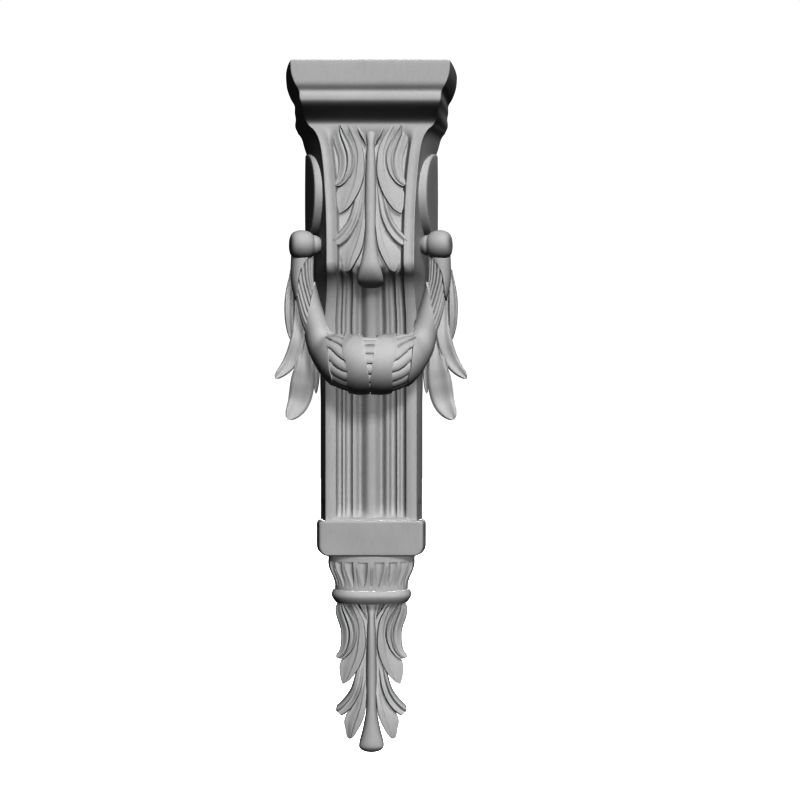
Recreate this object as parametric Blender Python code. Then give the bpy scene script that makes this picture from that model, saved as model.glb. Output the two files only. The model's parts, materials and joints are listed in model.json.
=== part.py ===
"""Carved wooden corbel bracket, about 600 mm tall.

One carved body carries a moulded cap, a swelling console with an acanthus leaf, a fluted shaft, a base
block, a fluted neck, a ring and an acanthus pendant. A ribbon-wrapped laurel garland, two turned knobs
and two leaf sprays are planted on it. The front faces -Y and the back lies in the plane y = 0. The
origin is on the back, on the centre line, at half of the height.
"""

import math

import bmesh
import bpy
from mathutils import Matrix, Vector

# Overall
HEIGHT = 0.600
CLEARANCE = 0.0003
BACK_SPARE = 0.004

# Cap: a slab that hollows into a bead, with an ogee below it
SLAB_HEIGHT = 0.0258
SLAB_WIDTH = 0.1360
SLAB_DEPTH = 0.0569
SLAB_EDGE = 0.0018
CAP_COVE = 0.0019
COVE_SPAN = 0.0032
BEAD_HEIGHT = 0.0064
BEAD_DEPTH = 0.0557
OGEE_HEIGHT = 0.0194
CAP_SPREAD = 0.0080

# Console: the swelling upper part, with a sunk panel between two hollow borders and a rounded foot
CONSOLE_HEIGHT = 0.1295
CONSOLE_WIDTH = 0.0750
CONSOLE_SHOULDER = 0.0084
SHOULDER_HOOK = 0.0080
CONSOLE_TOP_DEPTH = 0.0354
CONSOLE_FOOT_DEPTH = 0.0551
CONSOLE_SPREAD = 0.0125
FOOT_ROUND = 0.0097
FOOT_SET_BACK = 0.0059
FOOT_SPREAD = 0.0140
BORDER_WIDTH = 0.0088
BORDER_COVE = 0.0011
PANEL_WALL = 0.0030
PANEL_SINK = 0.0056

# Roundels on the console's side walls, each set over its knob with a gap between the rims
ROUNDEL_RADIUS = 0.0386
ROUNDEL_KNOB_GAP = 0.0020
ROUNDEL_RISE = 0.0071

# Sweep and fluted shaft
SWEEP_HEIGHT = 0.1085
SHAFT_HEIGHT = 0.1040
SHAFT_WIDTH = 0.0804
SHAFT_DEPTH = 0.0205
SHAFT_SPREAD = 0.0048
SHAFT_BORDER = 0.0094
BORDER_CROWN = 0.0009
REED_WIDTH = 0.0188
REED_BACK = 0.0023
GROOVE_WIDTH = 0.0047
GROOVE_BACK = 0.0086
FILLET_WIDTH = 0.0020
FILLET_BACK = 0.0040
FLUTE_WIDTH = 0.0067
FLUTE_DEPTH = 0.0039
FLUTE_END = 0.0140
FLUTE_STOP = 0.0020

# Base block
BLOCK_HEIGHT = 0.0311
BLOCK_OVERHANG = 0.0057
BLOCK_STEP = 0.0044
BLOCK_SPREAD = 0.0023
BLOCK_LEAN = 0.0022
BLOCK_TOP_ROUND = 0.0035
BLOCK_LOW_ROUND = 0.0095
JOINT_DEPTH = 0.0060

# Fluted neck and ring
NECK_HEIGHT = 0.0311
NECK_WIDTH = 0.0768
NECK_DEPTH = 0.0205
NECK_FLUTES = 8
NECK_FLUTE_DEPTH = 0.0026
NECK_BAND = 0.0056
NECK_TAPER = 0.0060
RING_HEIGHT = 0.0116
RING_WIDTH = 0.0710
RING_DEPTH = 0.0212
RING_UNDERCUT = 0.0055

# Acanthus leaves: the pendant and the one on the console's panel
PENDANT_WIDTH = 0.0640
PENDANT_RELIEF = 0.0112
PANEL_LEAF_WIDTH = 0.0655
PANEL_LEAF_HEIGHT = 0.1385
PANEL_LEAF_RELIEF = 0.0078

# Turned knobs
KNOB_RADIUS = 0.0128
KNOB_LENGTH = 0.0262
KNOB_FOOT_RADIUS = 0.0066
KNOB_COLLAR_RADIUS = 0.0089
KNOB_COLLAR_LENGTH = 0.0050
KNOB_RISE_OVER_FOOT = 0.0268
KNOB_DEPTH = 0.0285
KNOB_SIDES = 16

# Garland
GARLAND_HALF = 0.0587
GARLAND_DROP = 0.1038
GARLAND_RADIUS = 0.0243
LIMB_DEPTH = 0.0275
BELLY_DEPTH = 0.0462
RIBBON_RISE = 0.0015
LAUREL_RISE = 0.0014
GARLAND_SIDES = 16

# Leaf sprays
SPRAY_REACH = 0.0385
SPRAY_DROP = 0.1510
SPRAY_DEPTH = 0.0150
SPRAY_THICKNESS = 0.0050


def stack_heights():
    """Heights of the joints between the mouldings, from the top down."""
    top = HEIGHT / 2
    levels = {"top": top}
    for name, size in (
        ("slab", SLAB_HEIGHT),
        ("bead", BEAD_HEIGHT),
        ("ogee", OGEE_HEIGHT),
        ("console", CONSOLE_HEIGHT),
        ("sweep", SWEEP_HEIGHT),
        ("shaft", SHAFT_HEIGHT),
        ("block", BLOCK_HEIGHT),
        ("neck", NECK_HEIGHT),
        ("ring", RING_HEIGHT),
    ):
        top -= size
        levels[name] = top
    return levels


LEVEL = stack_heights()
TIP = -HEIGHT / 2


def mix(a, b, t):
    return a + (b - a) * t


def clamp(t):
    return min(max(t, 0.0), 1.0)


def smooth(t):
    t = clamp(t)
    return t * t * (3 - 2 * t)


def curve_through(points, t):
    """A point at share t of a smooth curve that passes through the points."""
    place = clamp(t) * (len(points) - 1)
    i = min(int(place), len(points) - 2)
    f = place - i
    p1 = points[i]
    p2 = points[i + 1]
    p0 = points[i - 1] if i else [2 * a - b for a, b in zip(p1, p2)]
    p3 = points[i + 2] if i + 2 < len(points) else [2 * b - a for a, b in zip(p1, p2)]
    return [
        0.5 * (2 * b + (c - a) * f + (2 * a - 5 * b + 4 * c - d) * f * f + (3 * b - a - 3 * c + d) * f**3)
        for a, b, c, d in zip(p0, p1, p2, p3)
    ]


def read_off(keys, at):
    """The value of a keyed curve, smooth between its keys."""
    i = max(sum(place <= at for place, _ in keys) - 1, 0)
    if i + 1 >= len(keys):
        return keys[-1][1]
    before = keys[max(i - 1, 0)]
    after = keys[min(i + 2, len(keys) - 1)]
    width = keys[i + 1][0] - keys[i][0]
    t = clamp((at - keys[i][0]) / width)
    slope_in = (keys[i + 1][1] - before[1]) / (keys[i + 1][0] - before[0])
    slope_out = (after[1] - keys[i][1]) / (after[0] - keys[i][0])
    bend = slope_in * width * t * (1 - t) ** 2 - slope_out * width * t * t * (1 - t)
    return mix(keys[i][1], keys[i + 1][1], smooth(t)) + bend


def new_object(name, mesh_builder):
    """A mesh object at the origin, from a bmesh with its faces turned out."""
    bmesh.ops.remove_doubles(mesh_builder, verts=mesh_builder.verts, dist=1e-6)
    bmesh.ops.dissolve_degenerate(mesh_builder, edges=mesh_builder.edges, dist=1e-7)
    bmesh.ops.recalc_face_normals(mesh_builder, faces=mesh_builder.faces)
    mesh = bpy.data.meshes.new(name)
    mesh_builder.to_mesh(mesh)
    mesh_builder.free()
    obj = bpy.data.objects.new(name, mesh)
    bpy.context.scene.collection.objects.link(obj)
    return obj


def loft(name, rings, flat_angle=math.radians(0.2)):
    """A closed body through rings of equally many points, with flat ends and flat faces joined up."""
    shape = bmesh.new()
    rows = [[shape.verts.new(point) for point in ring] for ring in rings]
    for upper, lower in zip(rows, rows[1:]):
        for i in range(len(upper)):
            j = (i + 1) % len(upper)
            shape.faces.new((upper[i], lower[i], lower[j], upper[j]))
    shape.faces.new(rows[0])
    shape.faces.new(list(reversed(rows[-1])))
    bmesh.ops.remove_doubles(shape, verts=shape.verts, dist=1e-6)
    bmesh.ops.dissolve_limit(
        shape, angle_limit=flat_angle, use_dissolve_boundaries=False, verts=shape.verts, edges=shape.edges
    )
    return new_object(name, shape)


def combine(target, others, operation):
    """Applies a Boolean of the other closed bodies to the target, and deletes them.

    The leaves' blades overlap in many thin layers. The exact solver leaves open edges there, and the
    manifold solver keeps the union closed.
    """
    group = bpy.data.collections.new("operands")
    for other in others:
        group.objects.link(other)
    modifier = target.modifiers.new("combine", "BOOLEAN")
    modifier.operation = operation
    modifier.operand_type = "COLLECTION"
    modifier.collection = group
    modifier.solver = "MANIFOLD"
    graph = bpy.context.evaluated_depsgraph_get()
    mesh = bpy.data.meshes.new_from_object(target.evaluated_get(graph))
    target.modifiers.clear()
    target.data = mesh
    bpy.data.collections.remove(group)
    for other in others:
        bpy.data.objects.remove(other)
    return target


def cut_flat_behind(obj):
    """Cuts the body off in the plane of the wall."""
    shape = bmesh.new()
    bmesh.ops.create_cube(shape, size=1.0)
    bmesh.ops.scale(shape, vec=(1.0, 0.1, 2.0), verts=shape.verts)
    bmesh.ops.translate(shape, vec=(0, 0.05, 0), verts=shape.verts)
    return combine(obj, [new_object("wall", shape)], "DIFFERENCE")


# The profile from the side, and the width from the front


# (share of the cap's height from the top, share of the way out from the console to the slab's edge)
CAP_OUTLINE = [(0.0, 1.0), (0.225, 0.94), (0.40, 0.72), (0.52, 0.475), (0.64, 0.43), (0.75, 0.33)]
CAP_OUTLINE += [(0.88, 0.27), (1.0, 0.0)]


def front_half(z):
    """Half width of the front at a height."""
    shoulder = CONSOLE_WIDTH / 2 + CONSOLE_SHOULDER + SHOULDER_HOOK
    if z > LEVEL["ogee"]:
        down = (LEVEL["top"] - z) / (LEVEL["top"] - LEVEL["ogee"])
        return mix(shoulder, SLAB_WIDTH / 2, read_off(CAP_OUTLINE, down))
    up = clamp((z - LEVEL["console"]) / CONSOLE_HEIGHT)
    below = (LEVEL["console"] - z) / (SWEEP_HEIGHT * 0.4)
    side = mix(CONSOLE_WIDTH / 2, SHAFT_WIDTH / 2, smooth(below))
    return side + CONSOLE_SHOULDER * up**2.54 + SHOULDER_HOOK * up**20


def wall_spread(z):
    """How much wider each side is at the wall than in front."""
    under = LEVEL["top"] - LEVEL["ogee"]
    foot = under + CONSOLE_HEIGHT
    keys = [
        (0.0, CAP_SPREAD),
        (SLAB_HEIGHT, CAP_SPREAD),
        (under, mix(CAP_SPREAD, CONSOLE_SPREAD, 0.7)),
        (under + CONSOLE_HEIGHT * 0.09, CONSOLE_SPREAD * 1.16),
        (under + CONSOLE_HEIGHT * 0.23, CONSOLE_SPREAD),
        (under + CONSOLE_HEIGHT * 0.60, CONSOLE_SPREAD),
        (foot, FOOT_SPREAD),
        (foot + SWEEP_HEIGHT * 0.4, mix(FOOT_SPREAD, SHAFT_SPREAD, 0.76)),
        (foot + SWEEP_HEIGHT, SHAFT_SPREAD),
    ]
    return read_off(keys, LEVEL["top"] - z)


def console_depth(z):
    """How far the console's leaning face stands out, carried on past its ends."""
    foot = LEVEL["console"] + FOOT_ROUND
    s = clamp((LEVEL["ogee"] - z) / (LEVEL["ogee"] - foot))
    return mix(CONSOLE_TOP_DEPTH, CONSOLE_FOOT_DEPTH, s + 0.02 * math.sin(math.pi * s))


def sweep_depth(z):
    """How far the border of the sweep and the shaft stands out."""
    s = clamp((LEVEL["console"] - z) / SWEEP_HEIGHT)
    return mix(SHAFT_DEPTH, CONSOLE_FOOT_DEPTH - FOOT_SET_BACK, 0.68 * (1 - s) ** 1.5 + 0.32 * (1 - s) ** 12)


def front_depth(z):
    """How far the front stands out from the wall at a height."""
    if z > LEVEL["bead"]:
        cove = CAP_COVE * math.exp(-(((z - LEVEL["slab"]) / COVE_SPAN) ** 2))
        down = (LEVEL["slab"] - z) / BEAD_HEIGHT
        return mix(SLAB_DEPTH, BEAD_DEPTH, smooth((down + 1) / 2)) - cove
    if z > LEVEL["ogee"]:
        down = (LEVEL["bead"] - z) / OGEE_HEIGHT
        return mix(BEAD_DEPTH, CONSOLE_TOP_DEPTH, smooth(mix(-0.07, 1.07, down)))
    if z > LEVEL["console"] + FOOT_ROUND:
        return console_depth(z)
    if z > LEVEL["console"]:
        under = (LEVEL["console"] + FOOT_ROUND - z) / FOOT_ROUND
        return CONSOLE_FOOT_DEPTH - FOOT_SET_BACK * under**2.2
    return sweep_depth(z)


# Plan sections of the body, from the wall round the front and back to the wall

FRONT_SPOTS = 16


def plain_front(half):
    """A flat front edge, from the corner to the centre line: (x, set back)."""
    return [(half * (1 - i / (FRONT_SPOTS - 1)), 0.0) for i in range(FRONT_SPOTS)]


def console_front(half):
    """A hollow border beside a sunk panel."""
    border = half - BORDER_WIDTH
    panel = border - PANEL_WALL
    spots = [(half, 0.0), (half - BORDER_WIDTH / 2, BORDER_COVE), (border, 0.0)]
    left = FRONT_SPOTS - len(spots) - 1
    return spots + [(panel * (1 - i / left), PANEL_SINK) for i in range(left + 1)]


def shaft_front(half):
    """A crowned border, two flutes between narrow fillets, a groove and the middle reed."""
    scale = half / (SHAFT_WIDTH / 2)
    reed = REED_WIDTH / 2
    arris = reed + GROOVE_WIDTH
    inner = arris + FILLET_WIDTH
    outer = inner + FLUTE_WIDTH
    fillet = outer + FILLET_WIDTH
    border = SHAFT_WIDTH / 2 - SHAFT_BORDER
    spots = [(SHAFT_WIDTH / 2, 0.0), (border + SHAFT_BORDER / 2, 0.0), (border, BORDER_CROWN)]
    spots += [(mix(border, fillet, s), mix(BORDER_CROWN, FILLET_BACK, s) + FLUTE_DEPTH) for s in (0.3, 0.7)]
    spots += [(fillet, FILLET_BACK), (outer, FILLET_BACK)]
    for s, deep in ((0.22, 0.72), (0.5, 1.0), (0.78, 0.72)):
        spots.append((mix(outer, inner, s), FILLET_BACK + FLUTE_DEPTH * deep))
    spots += [(inner, FILLET_BACK), (arris, FILLET_BACK), (reed, GROOVE_BACK)]
    spots += [(reed * u, mix(REED_BACK, GROOVE_BACK, smooth(u**1.5))) for u in (0.72, 0.4, 0.0)]
    return [(x * scale, back) for x, back in spots]


def plan(z, half, spread, depth, console=0.0, shaft=0.0, deep=1.0, grow=0.0):
    """One level section. console and shaft say how far its front edge has turned into theirs.

    grow moves the side walls out and the whole front forward, and leaves the flutes where they are.
    """
    right = [(half + spread, -BACK_SPARE), (half + spread, 0.0), (half + spread / 2, depth / 2)]
    for (x0, b0), (x1, b1), (x2, b2) in zip(plain_front(half), console_front(half), shaft_front(half)):
        x = x0 + (x1 - x0) * console + (x2 - x0) * shaft
        right.append((x, depth + grow - b0 - b1 * console - b2 * shaft * deep))
    outer = 4
    right = [(x + grow, d) for x, d in right[:outer]] + right[outer:]
    left = [(-x, d) for x, d in reversed(right[:-1])]
    return [Vector((x, -d, z)) for x, d in right + left]


def body_heights():
    """Heights of the long skin's sections, closest together where the profile turns."""
    cove = LEVEL["slab"] + COVE_SPAN * 2
    foot = LEVEL["console"] + FOOT_ROUND
    flare = LEVEL["console"] - SWEEP_HEIGHT * 0.16
    heights = []
    for start, end, steps in (
        (LEVEL["top"] - SLAB_EDGE, cove, 1),
        (cove, LEVEL["bead"], 5),
        (LEVEL["bead"], LEVEL["ogee"], 7),
        (LEVEL["ogee"], foot, 10),
        (foot, LEVEL["console"], 4),
        (LEVEL["console"], flare, 4),
        (flare, LEVEL["sweep"], 5),
        (LEVEL["sweep"], LEVEL["shaft"] + FLUTE_END + FLUTE_STOP, 1),
    ):
        heights += [mix(start, end, (i + 1) / steps) for i in range(steps)]
    return heights


def long_skin(grow=0.0):
    """Cap, console, sweep and shaft in one body. grow widens it, for the pieces planted on it."""
    top = LEVEL["top"]
    sections = [plan(top, SLAB_WIDTH / 2 - SLAB_EDGE, CAP_SPREAD, SLAB_DEPTH - SLAB_EDGE)]
    for z in [top - SLAB_EDGE] + body_heights():
        console = smooth((LEVEL["ogee"] - z) / (FOOT_ROUND * 2))
        shaft = smooth((LEVEL["console"] + FOOT_ROUND * 0.8 - z) / FOOT_ROUND)
        sections.append(
            plan(z, front_half(z), wall_spread(z), front_depth(z), console * (1 - shaft), shaft, grow=grow)
        )
    half = SHAFT_WIDTH / 2
    steps = 4
    for i in range(1, steps + 1):
        turn = math.pi / 2 * i / steps
        z = LEVEL["shaft"] + FLUTE_STOP + FLUTE_END * (1 - math.sin(turn))
        deep = math.cos(turn)
        sections.append(plan(z, half, SHAFT_SPREAD, SHAFT_DEPTH, shaft=1.0, deep=deep, grow=grow))
    sections.append(plan(LEVEL["shaft"] - JOINT_DEPTH, half, SHAFT_SPREAD, SHAFT_DEPTH, grow=grow))
    return loft("bracket_body", sections)


def block_sections():
    """The base block: eased above, well rounded below, its face leaning back on the way down."""
    half = SHAFT_WIDTH / 2 + BLOCK_OVERHANG
    sections = []
    steps = 8
    for i in range(steps + 1):
        down = BLOCK_HEIGHT * (1 - math.cos(math.pi * i / steps)) / 2
        above = max(1 - down / BLOCK_TOP_ROUND, 0.0)
        below = max(1 - (BLOCK_HEIGHT - down) / BLOCK_LOW_ROUND, 0.0)
        inset = BLOCK_TOP_ROUND * (1 - math.sqrt(1 - above**2))
        inset += BLOCK_LOW_ROUND * (1 - math.sqrt(1 - below**2.4))
        depth = SHAFT_DEPTH + BLOCK_STEP - BLOCK_LEAN * down / BLOCK_HEIGHT - inset * 0.3
        sections.append(plan(LEVEL["shaft"] - down, half - inset, BLOCK_SPREAD, depth))
    return sections


def clear_of_body(obj):
    """Cuts a planted piece back from the body, with the clearance between them."""
    return combine(obj, [long_skin(CLEARANCE)], "DIFFERENCE")


# Half-round mouldings below the block

FLUTED_SHARE = 0.83
FLUTE_SPOTS = 4


def half_round(z, half, depth, angles, groove=None):
    """A half-round plan section, with an optional groove depth at each angle."""
    ring = [Vector((half, BACK_SPARE, z))]
    for angle in angles:
        cut = groove(angle) if groove else 0.0
        across = math.copysign(abs(math.cos(angle)) ** 0.9, math.cos(angle))
        out = max(math.sin(angle), 0.0) ** 0.9
        ring.append(Vector(((half - cut) * across, -(depth - cut) * out, z)))
    ring.append(Vector((-half, BACK_SPARE, z)))
    return ring


def neck():
    half = NECK_WIDTH / 2
    pitch = math.pi / NECK_FLUTES * FLUTED_SHARE
    side = NECK_FLUTES * FLUTE_SPOTS // 2
    angles = [math.pi / 2 + pitch * i / FLUTE_SPOTS for i in range(-side, side + 1)]
    angles = [0.0] + angles + [math.pi]
    flute_top = LEVEL["block"] - NECK_BAND
    sections = [half_round(LEVEL["block"] + CLEARANCE * 5, half, NECK_DEPTH, angles)]
    for t in (0.0, 0.04, 0.35, 0.65, 0.88, 1.0):
        deep = 0.0 if t == 0.0 else NECK_FLUTE_DEPTH * (1 - t**2.2)
        taper = NECK_TAPER * smooth((t - 0.1) / 0.9)

        def groove(angle, deep=deep):
            place = (angle - math.pi / 2) / pitch
            if abs(place) > NECK_FLUTES / 2:
                return 0.0
            return deep * math.sin(math.pi * (place - math.floor(place)))

        z = mix(flute_top, LEVEL["neck"], t)
        sections.append(half_round(z, half - taper, NECK_DEPTH - taper * 0.4, angles, groove))
    low = half - NECK_TAPER
    sections.append(half_round(LEVEL["neck"] - RING_HEIGHT / 2, low, NECK_DEPTH - NECK_TAPER * 0.4, angles))
    return loft("neck", sections)


def ring():
    half = RING_WIDTH / 2
    spots = 20
    angles = [math.pi * i / spots for i in range(spots + 1)]
    sections = []
    steps = 6
    for i in range(steps + 1):
        t = i / steps
        inset = RING_UNDERCUT * (1 - math.sin(math.pi * mix(0.24, 0.90, t))) ** 0.9
        z = mix(LEVEL["neck"], LEVEL["ring"], t)
        sections.append(half_round(z, half - inset, RING_DEPTH - inset, angles))
    return loft("ring", sections)


# Acanthus leaf: blades between an outer and an inner edge, drawn in shares of the half width and height

# (across, down) along each edge, from the root to the tip
UPPER_BLADE_OUTER = [(0.90, 0.00), (0.99, 0.08), (0.85, 0.19), (0.85, 0.27), (0.92, 0.34), (0.99, 0.375)]
UPPER_BLADE_INNER = [(0.79, 0.00), (0.56, 0.085), (0.41, 0.16), (0.40, 0.25), (0.60, 0.35), (0.99, 0.375)]
UPPER_LOBE_OUTER = [(0.74, 0.00), (0.62, 0.16), (0.68, 0.32), (0.84, 0.39), (0.90, 0.45), (0.79, 0.555)]
UPPER_LOBE_INNER = [(0.52, 0.00), (0.25, 0.12), (0.155, 0.25), (0.23, 0.39), (0.45, 0.475), (0.79, 0.555)]
LOWER_BLADE_OUTER = [(0.34, 0.43), (0.48, 0.53), (0.58, 0.58), (0.76, 0.64), (0.94, 0.69), (0.97, 0.73)]
LOWER_BLADE_INNER = [(0.23, 0.43), (0.25, 0.54), (0.33, 0.60), (0.47, 0.67), (0.66, 0.73), (0.97, 0.73)]
LOWER_LOBE_OUTER = [(0.24, 0.43), (0.36, 0.62), (0.62, 0.73), (0.76, 0.79), (0.70, 0.85), (0.61, 0.915)]
LOWER_LOBE_INNER = [(0.13, 0.43), (0.13, 0.60), (0.15, 0.72), (0.27, 0.81), (0.45, 0.88), (0.61, 0.915)]
LITTLE_BLADE_OUTER = [(0.46, 0.00), (0.24, 0.07), (0.10, 0.13)]
LITTLE_BLADE_INNER = [(0.22, 0.00), (0.16, 0.07), (0.10, 0.13)]

# (share from the outer edge to the inner edge, height as a share of the leaf's relief)
FLAP_PROFILE = [(0.0, 0.35), (0.45, 0.62), (0.62, 0.86), (0.80, 0.70), (0.93, 0.86), (1.0, 0.55)]
BLADE_PROFILE = [(0.0, 0.45), (0.15, 0.80), (0.50, 0.64), (0.85, 0.84), (1.0, 0.50)]
LOBE_PROFILE = [(0.0, 0.42), (0.35, 0.40), (0.66, 0.74), (0.95, 0.78), (1.0, 0.55)]
LITTLE_PROFILE = [(0.0, 0.40), (0.5, 0.72), (1.0, 0.50)]

LEAF_BLADES = [
    (UPPER_BLADE_OUTER, UPPER_BLADE_INNER, FLAP_PROFILE, 9),
    (UPPER_LOBE_OUTER, UPPER_LOBE_INNER, LOBE_PROFILE, 9),
    (LOWER_BLADE_OUTER, LOWER_BLADE_INNER, BLADE_PROFILE, 7),
    (LOWER_LOBE_OUTER, LOWER_LOBE_INNER, LOBE_PROFILE, 8),
    (LITTLE_BLADE_OUTER, LITTLE_BLADE_INNER, LITTLE_PROFILE, 3),
]

LEAF_TIP_HEIGHT = 0.45

# (down, half width, height): the leaf's stem, from its root to the bulb at its tip
LEAF_STEM = [
    (0.00, 0.20, 0.70),
    (0.10, 0.13, 0.80),
    (0.22, 0.14, 0.95),
    (0.60, 0.14, 0.95),
    (0.78, 0.17, 1.00),
    (0.88, 0.25, 1.02),
    (0.95, 0.34, 1.00),
    (0.985, 0.28, 0.80),
    (1.0, 0.14, 0.45),
]


# (down, half width) of the low ground between the lobes, and its height as a share of the relief
LEAF_WEB = [(0.002, 0.80), (0.12, 0.62), (0.25, 0.52), (0.36, 0.50), (0.48, 0.30), (0.62, 0.24), (0.76, 0.10)]
WEB_HEIGHT = 0.35

FOOT_CURL = 0.45
ROOT_SHARE = 0.6


def leaf_blade(side, outer, inner, profile, steps, place, root):
    """One carved blade: a grid between its two edges, walled back to the root plane."""
    shape = bmesh.new()
    grid = []
    for i in range(steps + 1):
        t = i / steps
        a = curve_through(outer, t)
        b = curve_through(inner, t)
        row = []
        for share, height in profile:
            across = mix(a[0], b[0], share)
            down = mix(a[1], b[1], share)
            row.append(shape.verts.new(place(side * across, down, mix(height, LEAF_TIP_HEIGHT, t**5))))
        grid.append(row)
    for upper, lower in zip(grid, grid[1:]):
        for i in range(len(upper) - 1):
            shape.faces.new((upper[i], upper[i + 1], lower[i + 1], lower[i]))
    rim = grid[0] + [row[-1] for row in grid[1:-1]] + list(reversed(grid[-1]))
    rim += [row[0] for row in reversed(grid[1:-1])]
    back = [shape.verts.new((v.co.x, root, v.co.z)) for v in rim]
    for i in range(len(rim)):
        j = (i + 1) % len(rim)
        shape.faces.new((rim[i], rim[j], back[j], back[i]))
    shape.faces.new(back)
    return new_object("blade", shape)


def leaf_stem(place, root):
    """The rounded stem down the middle of a leaf."""
    rings = []
    for down, half, height in LEAF_STEM:
        row = []
        for i in range(7):
            angle = math.pi * i / 6
            lift = height * (0.45 + 0.55 * math.sin(angle))
            row.append(place(half * math.cos(angle), down, lift))
        first = row[0]
        last = row[-1]
        rings.append([Vector((first.x, root, first.z))] + row + [Vector((last.x, root, last.z))])
    return loft("stem", rings)


def acanthus(width, top, height, relief, ground, root):
    """A leaf on a ground whose depth is known at each height. Returns its bodies."""

    def place(across, down, lift):
        z = top - down * height
        return Vector((across * width / 2, -(ground(z) + lift * relief), z))

    bodies = [leaf_stem(place, root)]
    for outer, inner, profile, steps in LEAF_BLADES:
        for side in (1, -1):
            root += CLEARANCE
            bodies.append(leaf_blade(side, outer, inner, profile, steps, place, root))
    return bodies


def leaf_web(width, top, height, thickness):
    """The low ground behind the lobes of a leaf that has no panel under it."""
    rings = []
    for down, across in LEAF_WEB:
        z = top - down * height
        x = across * width / 2
        corners = ((x, -BACK_SPARE), (x, thickness), (-x, thickness), (-x, -BACK_SPARE))
        rings.append([Vector((a, -b, z)) for a, b in corners])
    return loft("web", rings)


def pendant_leaf():
    top = LEVEL["ring"] + CLEARANCE * 6
    height = top - TIP
    web = leaf_web(PENDANT_WIDTH, top, height, PENDANT_RELIEF * WEB_HEIGHT)
    return [web] + acanthus(PENDANT_WIDTH, top, height, PENDANT_RELIEF, lambda z: 0.0, BACK_SPARE)


def panel_leaf():
    foot = LEVEL["console"] + FOOT_ROUND

    def ground(z):
        return console_depth(z) - PANEL_SINK - max(foot - z, 0.0) * FOOT_CURL

    root = -(CONSOLE_TOP_DEPTH - PANEL_SINK) * ROOT_SHARE
    return acanthus(PANEL_LEAF_WIDTH, LEVEL["ogee"], PANEL_LEAF_HEIGHT, PANEL_LEAF_RELIEF, ground, root)


# Side walls, and what stands on them


def side_wall(z, depth):
    """The side wall: half width at a height and depth, and the wall's lean outward."""
    lean = wall_spread(z) / front_depth(z)
    return front_half(z) + wall_spread(z) - lean * depth, lean


# (share of the radius, share of the rise): a square rim and a faintly domed face
ROUNDEL_PROFILE = [(1.0, -0.8), (1.0, 0.86), (0.96, 1.0), (0.0, 1.05)]


def roundel(side):
    """A half-round turned boss on a side wall, cut off at the back of the bracket."""
    apart = ROUNDEL_RADIUS + ROUNDEL_KNOB_GAP + KNOB_RADIUS
    centre_z = LEVEL["console"] + KNOB_RISE_OVER_FOOT + math.sqrt(apart**2 - KNOB_DEPTH**2)
    spots = 28
    shape = bmesh.new()
    rows = []
    for radius, rise in ROUNDEL_PROFILE:
        row = []
        for i in range(spots):
            angle = math.tau * i / spots
            depth = ROUNDEL_RADIUS * radius * math.sin(angle)
            z = centre_z + ROUNDEL_RADIUS * radius * math.cos(angle)
            wall, _ = side_wall(centre_z, depth)
            row.append(shape.verts.new((side * (wall + ROUNDEL_RISE * rise), -depth, z)))
        rows.append(row)
    for upper, lower in zip(rows, rows[1:]):
        for i in range(spots):
            j = (i + 1) % spots
            shape.faces.new((upper[i], upper[j], lower[j], lower[i]))
    shape.faces.new(rows[0])
    return new_object("roundel", shape)


def bracket_body():
    parts = [loft("block", block_sections()), neck(), ring(), roundel(1), roundel(-1)]
    body = combine(long_skin(), parts + panel_leaf() + pendant_leaf(), "UNION")
    return cut_flat_behind(body)


def knob_seat(side):
    """Where a knob stands on its side wall, and the direction that its axis points in."""
    z = LEVEL["console"] + KNOB_RISE_OVER_FOOT
    wall, lean = side_wall(z, KNOB_DEPTH)
    axis = Vector((side, -lean, 0)).normalized()
    return Vector((side * wall, -KNOB_DEPTH, z)), axis


def knob(name, side, grow=0.0):
    """A turned knob with a collar, standing on its side wall. grow widens it, for a seat cut around it."""
    seat, axis = knob_seat(side)
    # (radius, distance from the wall)
    outline = [
        (KNOB_FOOT_RADIUS, 0.0),
        (mix(KNOB_FOOT_RADIUS, KNOB_COLLAR_RADIUS, 0.7), KNOB_COLLAR_LENGTH / 2),
        (KNOB_COLLAR_RADIUS, KNOB_COLLAR_LENGTH),
    ]
    head = (KNOB_LENGTH - KNOB_COLLAR_LENGTH) / 2
    for degrees in (-58, -35, 0, 35, 58, 78):
        turn = math.radians(degrees)
        outline.append((KNOB_RADIUS * math.cos(turn) ** 0.48, KNOB_COLLAR_LENGTH + head * (1 + math.sin(turn))))
    shape = bmesh.new()
    rows = []
    for radius, along in outline:
        row = []
        for i in range(KNOB_SIDES):
            angle = math.tau * i / KNOB_SIDES
            reach = radius + grow
            row.append(shape.verts.new((reach * math.cos(angle), reach * math.sin(angle), along + grow)))
        rows.append(row)
    for upper, lower in zip(rows, rows[1:]):
        for i in range(KNOB_SIDES):
            j = (i + 1) % KNOB_SIDES
            shape.faces.new((upper[i], upper[j], lower[j], lower[i]))
    shape.faces.new(list(reversed(rows[0])))
    shape.faces.new(rows[-1])
    bmesh.ops.translate(shape, vec=(0, 0, CLEARANCE), verts=shape.verts)
    turn = Vector((0, 0, 1)).rotation_difference(axis).to_matrix().to_4x4()
    bmesh.ops.transform(shape, matrix=Matrix.Translation(seat) @ turn, verts=shape.verts)
    return new_object(name, shape)


# Garland: a bundle that hangs in a U from knob to knob, thin in its limbs and thick in its belly

# (out, down, thickness) from a knob to the bottom, in shares of the half width, the drop and the thickness
GARLAND_LINE = [
    (0.997, 0.06, 0.39),
    (1.000, 0.27, 0.39),
    (0.956, 0.42, 0.39),
    (0.889, 0.57, 0.42),
    (0.789, 0.72, 0.45),
    (0.690, 0.83, 0.57),
    (0.518, 0.91, 0.82),
    (0.290, 0.985, 1.0),
    (0.0, 1.0, 1.0),
]
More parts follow.
